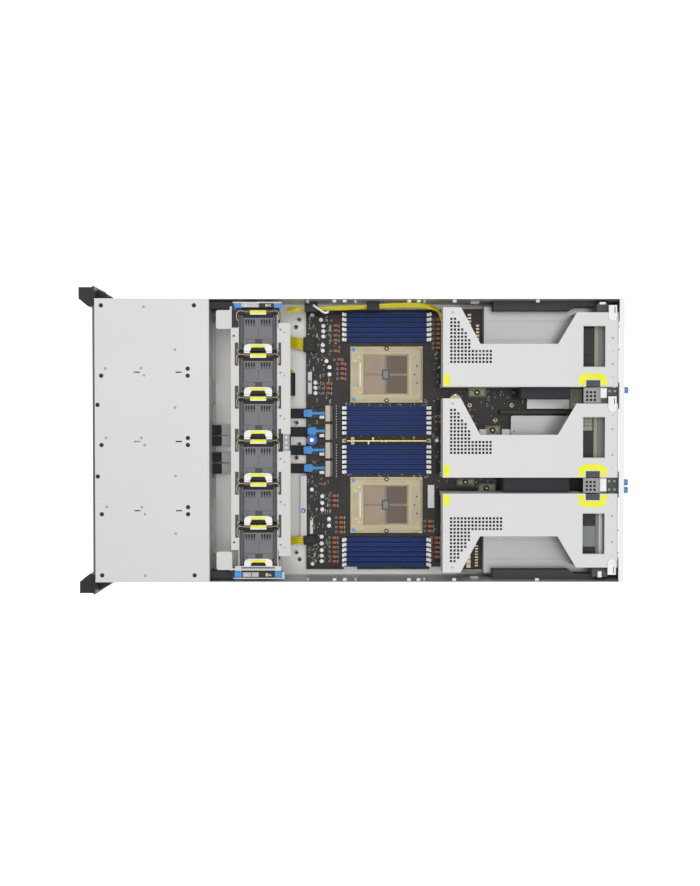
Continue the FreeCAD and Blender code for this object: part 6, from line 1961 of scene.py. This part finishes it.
@dataclass
class Sockets:
    """The contact fields of the processor sockets and what sits on their frames."""

    middles: tuple[float, ...] = (106.3, -106.3)
    middle_x: float = 52.3
    frame_top: float = 16.6

    def fields(self, number: int, y: float) -> None:
        """Lays one socket's contact fields, the gaps between them and the hub.

        Args:
            number: the socket's number.
            y: its middle.
        """
        x, floor = self.middle_x, BOARD_TOP + 2.9
        for side_x, name, finish in ((-1, "front", PALETTE.field_lit), (1, "rear", PALETTE.field_dim)):
            pads = []
            for side_y in (-1, 1):
                middle = (x + side_x * 18.2, y + side_y * 16.1)
                pads.append(((middle[0] - 16.4, middle[1] - 14.3, floor),
                             (middle[0] + 16.4, middle[1] + 14.3, floor + 0.5)))
            Fixings.blocks("contact_fields_%s_%d" % (name, number), pads, 0.2, finish)
        cross = [((x - 1.0, y - 31, BOARD_TOP + 1.6), (x + 1.0, y + 31, floor + 0.35)),
                 ((x - 35, y - 0.8, BOARD_TOP + 1.6), (x + 35, y + 0.8, floor + 0.35))]
        Fixings.blocks("contact_gaps_%d" % number, cross, 0.2, PALETTE.moss)
        hub = [((x - 6.2, y - 8.2, floor), (x + 6.2, y + 8.2, floor + 0.7))]
        Fixings.blocks("contact_hub_%d" % number, hub, 0.5, PALETTE.ear_grey)
        cap = [((x - 3.9, y - 6, floor + 0.5), (x + 3.9, y + 6, floor + 1.0))]
        Fixings.blocks("contact_cap_%d" % number, cap, 0.4, PALETTE.moss)

    def frame_parts(self, number: int, y: float) -> None:
        """Sets the screws, dots, rings, plates and wires on one frame.

        Args:
            number: the frame's number.
            y: its middle.
        """
        body = "socket_frame_%d" % number
        low, high = box_mm(body)
        top = self.frame_top
        spots = [(53.6, y + 42), (53.6, y - 42)]
        Fixings.screws("frame_screws_%d" % number, spots, top - 0.1, 3.5, 0.5, PALETTE.ear, body)
        Fixings.screws("frame_screw_cores_%d" % number, spots, top + 0.3, 1.6, 0.5, PALETTE.brass, body)
        spots = [(low.x + 4.2, y + 40.3), (low.x + 4.2, y - 40.3)]
        Fixings.screws("frame_dots_%d" % number, spots, top - 0.1, 2.8, 0.5, PALETTE.tab_blue, body)
        corners = ((7, 22.8), (12.8, 28.6), (101.8, 29), (107.4, 22.8))
        holes = [(low.x + u, y + sign * v) for u, v in corners for sign in (-1, 1)]
        Fixings.screws("frame_rings_%d" % number, holes, top - 0.05, 2.3, 0.25, PALETTE.brass, body)
        # Painted shade: black discs in three of the frame's holes.
        holes = [(low.x + 107.4, y + 13.9), (low.x + 107.4, y - 13.9), (low.x + 103.5, y)]
        Fixings.screws("frame_hole_shade_%d" % number, holes, top + 0.3, 1.3, 0.2, PALETTE.ear, body)
        plates = [((low.x + 3.5, y - 20, top - 0.2), (low.x + 12.5, y + 20, top + 0.35)),
                  ((low.x + 22, y + 36.2, top - 0.2), (high.x - 26, y + 39, top + 0.3)),
                  ((low.x + 22, y - 39, top - 0.2), (high.x - 26, y - 36.2, top + 0.3)),
                  ((high.x - 15, y - 30, top - 0.2), (high.x - 5, y + 30, top + 0.35))]
        Fixings.blocks("frame_plates_%d" % number, plates, 0.15, PALETTE.frame, body)
        slits = [((low.x + 14.1, y - 19, top + 0.1), (low.x + 16, y + 19, top + 0.45))]
        Fixings.blocks("frame_slits_%d" % number, slits, 0.12, PALETTE.white, body)
        wires = []
        for sign in (-1, 1):
            path = [(high.x - 12, y + sign * 8, top + 0.3), (high.x - 9, y + sign * 14, top + 0.3),
                    (high.x - 9.5, y + sign * 26, top + 0.3), (high.x - 6, y + sign * 31, top + 0.2)]
            wires.append(Bench.band("frame_wire", path, 0.6, 0.4, 6))
        Bench.unite("frame_wires_%d" % number, wires, PALETTE.steel, body)

    def build(self) -> None:
        """Dresses both sockets."""
        for number, y in enumerate(self.middles, start=1):
            self.fields(number, y)
            self.frame_parts(number, y)


@dataclass
class Riser:
    """What sits on one riser bracket: touch arch, sticker, screws, notch lining and the card's parts."""

    name: str
    side: int
    edge: float
    window: tuple[tuple[str, tuple[float, float], tuple[float, float]], ...]
    start: float = 139.6
    top: float = 85.2

    @property
    def body(self) -> str:
        """Names the body that carries the bracket."""
        return "riser_cage_" + self.name

    def spot(self, u: float, v: float) -> tuple[float, float]:
        """Gives the X and Y of a place on the bracket.

        Args:
            u: how far it lies behind the bracket's front edge.
            v: how far it lies from the bracket's straight edge.

        Returns:
            Its X and Y.
        """
        return self.start + u, self.edge + self.side * v

    def plate(self, u: tuple[float, float], v: tuple[float, float], low: float, high: float) -> tuple[Point, Point]:
        """Gives the corners of a block on the bracket, from distances along and across it."""
        (x0, y0), (x1, y1) = self.spot(u[0], v[0]), self.spot(u[1], v[1])
        return (x0, min(y0, y1), low), (x1, max(y0, y1), high)

    def arch(self) -> None:
        """Lays the yellow touch arch round the finger notch."""
        outer = [(212.4, 2), (212.4, 11), (214.6, 16.2), (218.8, 19.8), (224.5, 21), (244.5, 21), (250, 19.8),
                 (254.2, 16.2), (256.4, 11), (256.4, 2)]
        inner = [(247.6, 2), (247.2, 8.6), (244, 12.2), (225, 12.2), (221.6, 8.6), (221.2, 2)]
        corners = [self.spot(u, v) for u, v in outer + inner]
        arch = Bench.outline("touch_arch_" + self.name, corners, self.top - 0.05, self.top + 0.3, 0.5, 2)
        Bench.dress(Bench.smooth(arch), PALETTE.yellow, self.body)
        Fixings.blocks("touch_sticker_" + self.name, [self.plate((1.2, 10.6), (1.6, 19.6), self.top - 0.05,
                       self.top + 0.25)], 0.12, PALETTE.yellow, self.body)

    def screws(self) -> None:
        """Sets the column of screws behind the window, and the dimple on the lobe."""
        holes = [self.spot(265.2, 14.9 + 20.4 * step) for step in (0, 2, 4)]
        Fixings.screws("bracket_screws_" + self.name, holes, self.top - 0.1, 1.5, 0.3, PALETTE.steel, self.body)
        holes = [self.spot(265.2, 14.9 + 20.4 * step) for step in (1, 3)]
        Fixings.screws("bracket_dimples_" + self.name, holes + [self.spot(15, 116)], self.top - 0.1, 1.7, 0.22,
                       PALETTE.dimple, self.body)
        lip = [self.plate((219.6, 253.4), (30.7, 31.3), self.top - 2.6, self.top + 0.15),
               self.plate((219.6, 253.4), (94.5, 95.1), self.top - 2.6, self.top + 0.15),
               self.plate((272.4, 273.8), (1, 112), self.top - 0.2, self.top + 0.3)]
        Fixings.blocks("window_lips_" + self.name, lip, 0.15, PALETTE.riser, self.body)
        liner = [self.spot(u, v) for u, v in ((220.4, 0.3), (220.8, 8), (225.4, 13.4), (243.6, 13.4), (248.2, 8),
                                              (248.6, 0.3))]
        plate = Bench.outline("notch_liner_" + self.name, liner, self.top - 3.4, self.top - 1.3, 1.0, 2)
        Bench.dress(plate, PALETTE.slate, self.body)

    def inside(self) -> None:
        """Hangs the card's brackets that show through the window from the underside of the top plate."""
        kinds = {"dark": PALETTE.chip, "moss": PALETTE.moss, "light": PALETTE.khaki, "pale": PALETTE.wall}
        for number, (kind, columns, rows) in enumerate(self.window):
            low, high = patch(columns, rows, 68, 70.5)
            Fixings.blocks("window_%s_%d" % (self.name, number), [(low, high)], 0.4, kinds[kind], self.body)
        bars = [self.plate((214, 258), across, 66, self.top - 1.2) for across in ((27.5, 29.2), (96.6, 98.2))]
        Fixings.blocks("window_hangers_" + self.name, bars, 0.3, PALETTE.moss, self.body)

    def card(self) -> None:
        """Puts chips and gold slot linings on the riser's upright board."""
        faces = [self.plate((20 + 26 * step, 34 + 26 * step), (5.7, 7.4), 62, 72) for step in range(7)]
        Fixings.blocks("riser_chips_" + self.name, faces, 0.4, PALETTE.chip, self.body)
        grooves = [self.plate((62, 148), (16.6, 17.1), level + 2.6, level + 5.4) for level in (34, 58)]
        Fixings.blocks("riser_grooves_" + self.name, grooves, 0.15, PALETTE.gold, self.body)

    def lever(self) -> None:
        """Widens the slot lever to its rounded foot and sets its pivot screw and its slit."""
        body = "slot_lever_" + self.name
        low, high = box_mm(body)
        pivot, tip = (low.y + 4.5, high.y + 0.3) if self.side > 0 else (high.y - 4.5, low.y - 0.3)
        foot = [(404.3 + 6.3 * math.cos(math.pi * step / 10), pivot - self.side * 6.3 * math.sin(math.pi * step / 10))
                for step in range(11)]
        corners = foot + [(398, tip), (410.6, tip)]
        cap = Bench.outline("lever_cap_" + self.name, corners, self.top + 0.15, self.top + 2.5)
        Bench.dress(cap, PALETTE.white, body)
        Fixings.screws("lever_pivot_" + self.name, [(404.3, pivot)], self.top + 2.4, 2.4, 0.4, PALETTE.white, body)
        slit = ((406.6, min(pivot + self.side * 6, tip - self.side * 2.5), self.top + 2.4),
                (408, max(pivot + self.side * 6, tip - self.side * 2.5), self.top + 2.62))
        Fixings.blocks("lever_slit_" + self.name, [slit], 0.08, PALETTE.slate, body)

    def build(self) -> None:
        """Makes the bracket's fittings."""
        self.arch()
        self.screws()
        self.inside()
        self.card()
        self.lever()


class Risers:
    """The fittings of the three risers."""

    def build(self) -> None:
        """Dresses each riser from the left wall to the right."""
        left = (("dark", (582, 594), (324, 355)), ("moss", (582, 594), (327.1, 328.2)),
                ("dark", (582, 594), (355.2, 369)), ("light", (594.1, 598.2), (324, 369)),
                ("moss", (598.3, 606), (324, 369)))
        middle = (("light", (582, 592.6), (415, 430.6)), ("dark", (582, 593.3), (430.8, 460)),
                  ("light", (593.5, 597.6), (415, 460)), ("moss", (597.8, 606), (415, 460)))
        right = (("dark", (581, 595.6), (512, 525.8)), ("moss", (581, 595.6), (526, 547)),
                 ("dark", (581, 595.6), (547.2, 556)), ("moss", (595.8, 598.8), (512, 556)),
                 ("pale", (599, 602.9), (512, 556)), ("moss", (603, 606), (512, 556)))
        for name, side, edge, window in (("left", 1, 84.4, left), ("middle", 1, -57.9, middle),
                                         ("right", -1, -83.1, right)):
            Riser(name, side, edge, window).build()
        # Painted shade: black discs in the vent holes seen through the middle riser's window.
        spots = [seen(584.6 + 3.6 * column, 418.6 + 3.55 * row, 70) for column in range(3) for row in range(3)]
        Fixings.screws("window_vent_shade", spots, 70.2, 1.5, 0.5, PALETTE.ear, "riser_cage_middle")


@dataclass
class Supplies:
    """The power supplies' tops, rear faces and handles."""

    top: float = 41.6
    rear: float = 422.8
    port_sizes: tuple[Point, ...] = ((-34, 16, 13), (-12, 14, 15), (8, 14, 15), (30, 18, 12))

    def case(self, number: int, sign: int) -> None:
        """Embosses the top and fits the rear face of one supply.

        Args:
            number: the supply's number.
            sign: 1 on the left, -1 on the right.
        """
        body = "power_supply_%d" % number
        low, high = box_mm(body)
        inner = low.y if sign > 0 else high.y

        def strip(u0: float, u1: float, v0: float, v1: float, z0: float, z1: float) -> tuple[Point, Point]:
            """Gives a block's corners from the supply's front end and inner side."""
            y0, y1 = sorted((inner + sign * v0, inner + sign * v1))
            return (low.x + u0, y0, z0), (low.x + u1, y1, z1)

        ribs = [strip(4, 200, 20, 21.4, self.top - 0.1, self.top + 0.35),
                strip(4, 200, 50, 51.4, self.top - 0.1, self.top + 0.35),
                strip(30, 90, 2.5, 4, self.top - 0.1, self.top + 0.35),
                strip(30, 90, 14, 15.5, self.top - 0.1, self.top + 0.35),
                strip(30, 31.5, 2.5, 15.5, self.top - 0.1, self.top + 0.35),
                strip(88.5, 90, 2.5, 15.5, self.top - 0.1, self.top + 0.35)]
        Fixings.blocks("supply_ribs_%d" % number, ribs, 0.15, PALETTE.supply, body)
        length = self.rear - low.x
        grille = [strip(length - 0.2, length + 0.4, 3.4 + 6 * step, 4.4 + 6 * step, 5.5, 33) for step in range(8)]
        Fixings.blocks("supply_grille_%d" % number, grille, 0.15, PALETTE.steel, body)
        shell = [strip(length - 7.8, length + 0.6, *rim)
                 for rim in ((51.4, 66.6, 7.6, 8.8), (51.4, 66.6, 19, 20.2), (51.4, 52.6, 8, 20), (65.4, 66.6, 8, 20))]
        Fixings.blocks("supply_inlet_%d" % number, shell, 0.4, PALETTE.chip, body)
        blades = [strip(length - 7.5, length - 1.5, v, v + 1.2, z, z + 4) for v, z in ((55, 11), (62, 11), (58.5, 14))]
        Fixings.blocks("supply_blades_%d" % number, blades, 0.3, PALETTE.nickel, body)
        grip = [strip(length + 6.8, length + 10.2, 3.8, 44.2, 33.4, 36.8)]
        Fixings.blocks("supply_grip_%d" % number, grip, 0.5, PALETTE.black, body)

    def ports(self) -> None:
        """Sets the board's rear connectors: metal shells with dark mouths."""
        shells, mouths = [], []
        for y, width, height in self.port_sizes:
            left, right, roof = y - width / 2, y + width / 2, BOARD_TOP + height
            shells.append(((398, left, BOARD_TOP), (421, right, roof)))
            mouths.append(((420.6, left + 1.4, BOARD_TOP + 1.6), (421.3, right - 1.4, roof - 1.6)))
        Fixings.blocks("port_shells", shells, 0.5, PALETTE.nickel)
        Fixings.blocks("port_mouths", mouths, 0.2, PALETTE.chip)

    def build(self) -> None:
        """Dresses both supplies and the ports between them."""
        self.case(1, 1)
        self.case(2, -1)
        self.ports()


@dataclass
class RearEdge:
    """The hardware between the risers at the rear, the blue screw heads and the panel's trim."""

    shelf_top: float = 79.2
    captive_at: tuple[float, float] = (423.4, 72.8)
    captive_y: tuple[float, ...] = (79.4, -65.9, -78.1)

    def gap(self, name: str, rows: tuple[float, float], tab_rows: tuple[float, float]) -> None:
        """Fills one gap between two brackets with its white tab and its dark plate with screws.

        Args:
            name: what its pieces are called.
            rows: the gap's rows in the picture.
            tab_rows: the white tab's rows.
        """
        top = self.shelf_top
        Fixings.blocks("white_tab_" + name, [patch((600.4, 606.9), tab_rows, top, top + 4)], 0.9, PALETTE.bright)
        Fixings.blocks("dark_plate_" + name, [patch((607, 617.8), rows, top, top + 1.4)], 0.4, PALETTE.slate)
        spots = [seen(column, rows[0] + 3.5 + (rows[1] - rows[0] - 7) * row, top + 2)
                 for column in (609.4, 614.8) for row in (0, 1)]
        Fixings.screws("plate_rounds_" + name, spots, top + 1.3, 1.9, 0.9, PALETTE.dimple)
        dark = patch((601.2, 608), (rows[1] - 4.6, rows[1] - 0.4), top, top + 1.8)
        Fixings.blocks("dark_block_" + name, [dark], 0.5, PALETTE.slate)

    def heads(self) -> None:
        """Covers the captive screws with ribbed blue heads."""
        heads = []
        x, z = self.captive_at
        for number, y in enumerate(self.captive_y):
            head = Bench.disc("captive_head_%d" % number, (x, y, z), 5.3, 8.5, Axis.X, 20, 0.9)
            Bench.pick_faces(head, (0, 1, 0), -2)
            bpy.ops.object.mode_set(mode="OBJECT")
            for face in head.data.polygons:
                face.select = abs(face.normal.x) < 0.1 and face.index % 2 == 0
            bpy.ops.object.mode_set(mode="EDIT")
            bpy.ops.mesh.inset(thickness=0.25 * MM, depth=-0.35 * MM)
            Bench.done()
            heads.append(Bench.sunk(head, (1, 0, 0), 1.6, 1.2))
        Bench.unite("captive_heads", heads, PALETTE.tab_blue)

    def trim(self) -> None:
        """Folds the panel's light top flange."""
        Fixings.blocks("rear_hem", [((414.6, -221.6, 87.9), (422.6, 221.6, 88.3))], 0.15, PALETTE.bright)

    def corners(self) -> None:
        """Fills the corners between the outer brackets and the side walls."""
        dark = [patch((596.5, 608.4), (303.4, 312.8), 62, 78), patch((592.6, 608), (568.4, 577.4), 62, 78)]
        Fixings.blocks("corner_hardware", dark, 0.8, PALETTE.slate)
        pale = [patch((599, 605.4), (302.2, 304.6), 78, 79.4), patch((598.4, 602.4), (571.6, 577.8), 78, 79.4)]
        Fixings.blocks("corner_tabs", pale, 0.5, PALETTE.bright)

    def build(self) -> None:
        """Adds the rear edge's parts."""
        self.gap("upper", (387.6, 403), (388, 398))
        self.gap("lower", (477.6, 493), (478.3, 491.6))
        self.heads()
        self.trim()
        self.corners()


@dataclass
class SideWalls:
    """The lid pins' heads, the small tabs and the clips along both side walls."""

    wall: float = 222.0
    tab_at: tuple[float, ...] = (372, 388, 489, 504, 560, 690)
    pin_at: tuple[float, ...] = (333, 408, 516)
    clip_at: tuple[float, ...] = (250, 590)

    def build(self) -> None:
        """Adds the tabs, the pins' heads and the clips to each wall."""
        for side in Side:
            name = side.name.lower()
            inner = side.value * (self.wall - 1.3)
            reach = sorted((inner, inner - side.value * 4.6))
            tabs = [((behind(distance), reach[0], 82.4), (behind(distance) + 6, reach[1], 84))
                    for distance in self.tab_at]
            Fixings.blocks("wall_tabs_" + name, tabs, 0.4, PALETTE.riser)
            ends = sorted((inner - side.value * 3.6, inner - side.value * 5.2))
            heads = [((behind(distance) - 2.9, ends[0], 72.8), (behind(distance) + 2.9, ends[1], 78.6))
                     for distance in self.pin_at]
            Fixings.blocks("lid_pin_heads_" + name, heads, 0.7, PALETTE.steel)
            clips = [((behind(distance), reach[0], 60), (behind(distance) + 14, reach[1], 62))
                     for distance in self.clip_at]
            Fixings.blocks("wall_clips_" + name, clips, 0.4, PALETTE.grey)


class Baffles:
    """The foam baffles' seams and the dark boxes between the risers."""

    def build(self) -> None:
        """Lays a pressed line along each foam strip and a lid on each block."""
        low, high = box_mm("air_baffles")
        seams = [((low.x + 4, side * 217 - 0.6, high.z - 0.1), (low.x + 118, side * 217 + 0.6, high.z + 0.3))
                 for side in (1, -1)]
        Fixings.blocks("foam_seams", seams, 0.2, PALETTE.foam)
        lids = [((behind(672), 67.4, 59.8), (behind(747), 83, 60.6)),
                ((behind(645), -82, 59.8), (behind(747), -59, 60.6))]
        Fixings.blocks("block_lids", lids, 0.3, PALETTE.navy)


ASSEMBLIES: list[type] = [BayCover, DriveFronts, Ears, SignalCables, PowerCables, FloorFittings, FanCage,
                          BoardParts, BoardTrim, Memory, Sockets, Risers, Supplies, RearEdge, SideWalls, Baffles]


def main() -> None:
    """Dresses the server from the studio to the rear panel."""
    logging.basicConfig(level=logging.INFO, format="%(name)s: %(message)s")
    Studio().build()
    Solids().dress(frame["nodes"])
    for assembly in ASSEMBLIES:
        LOG.info("building %s", assembly.__name__)
        assembly().build()


if __name__ == "__main__":
    main()
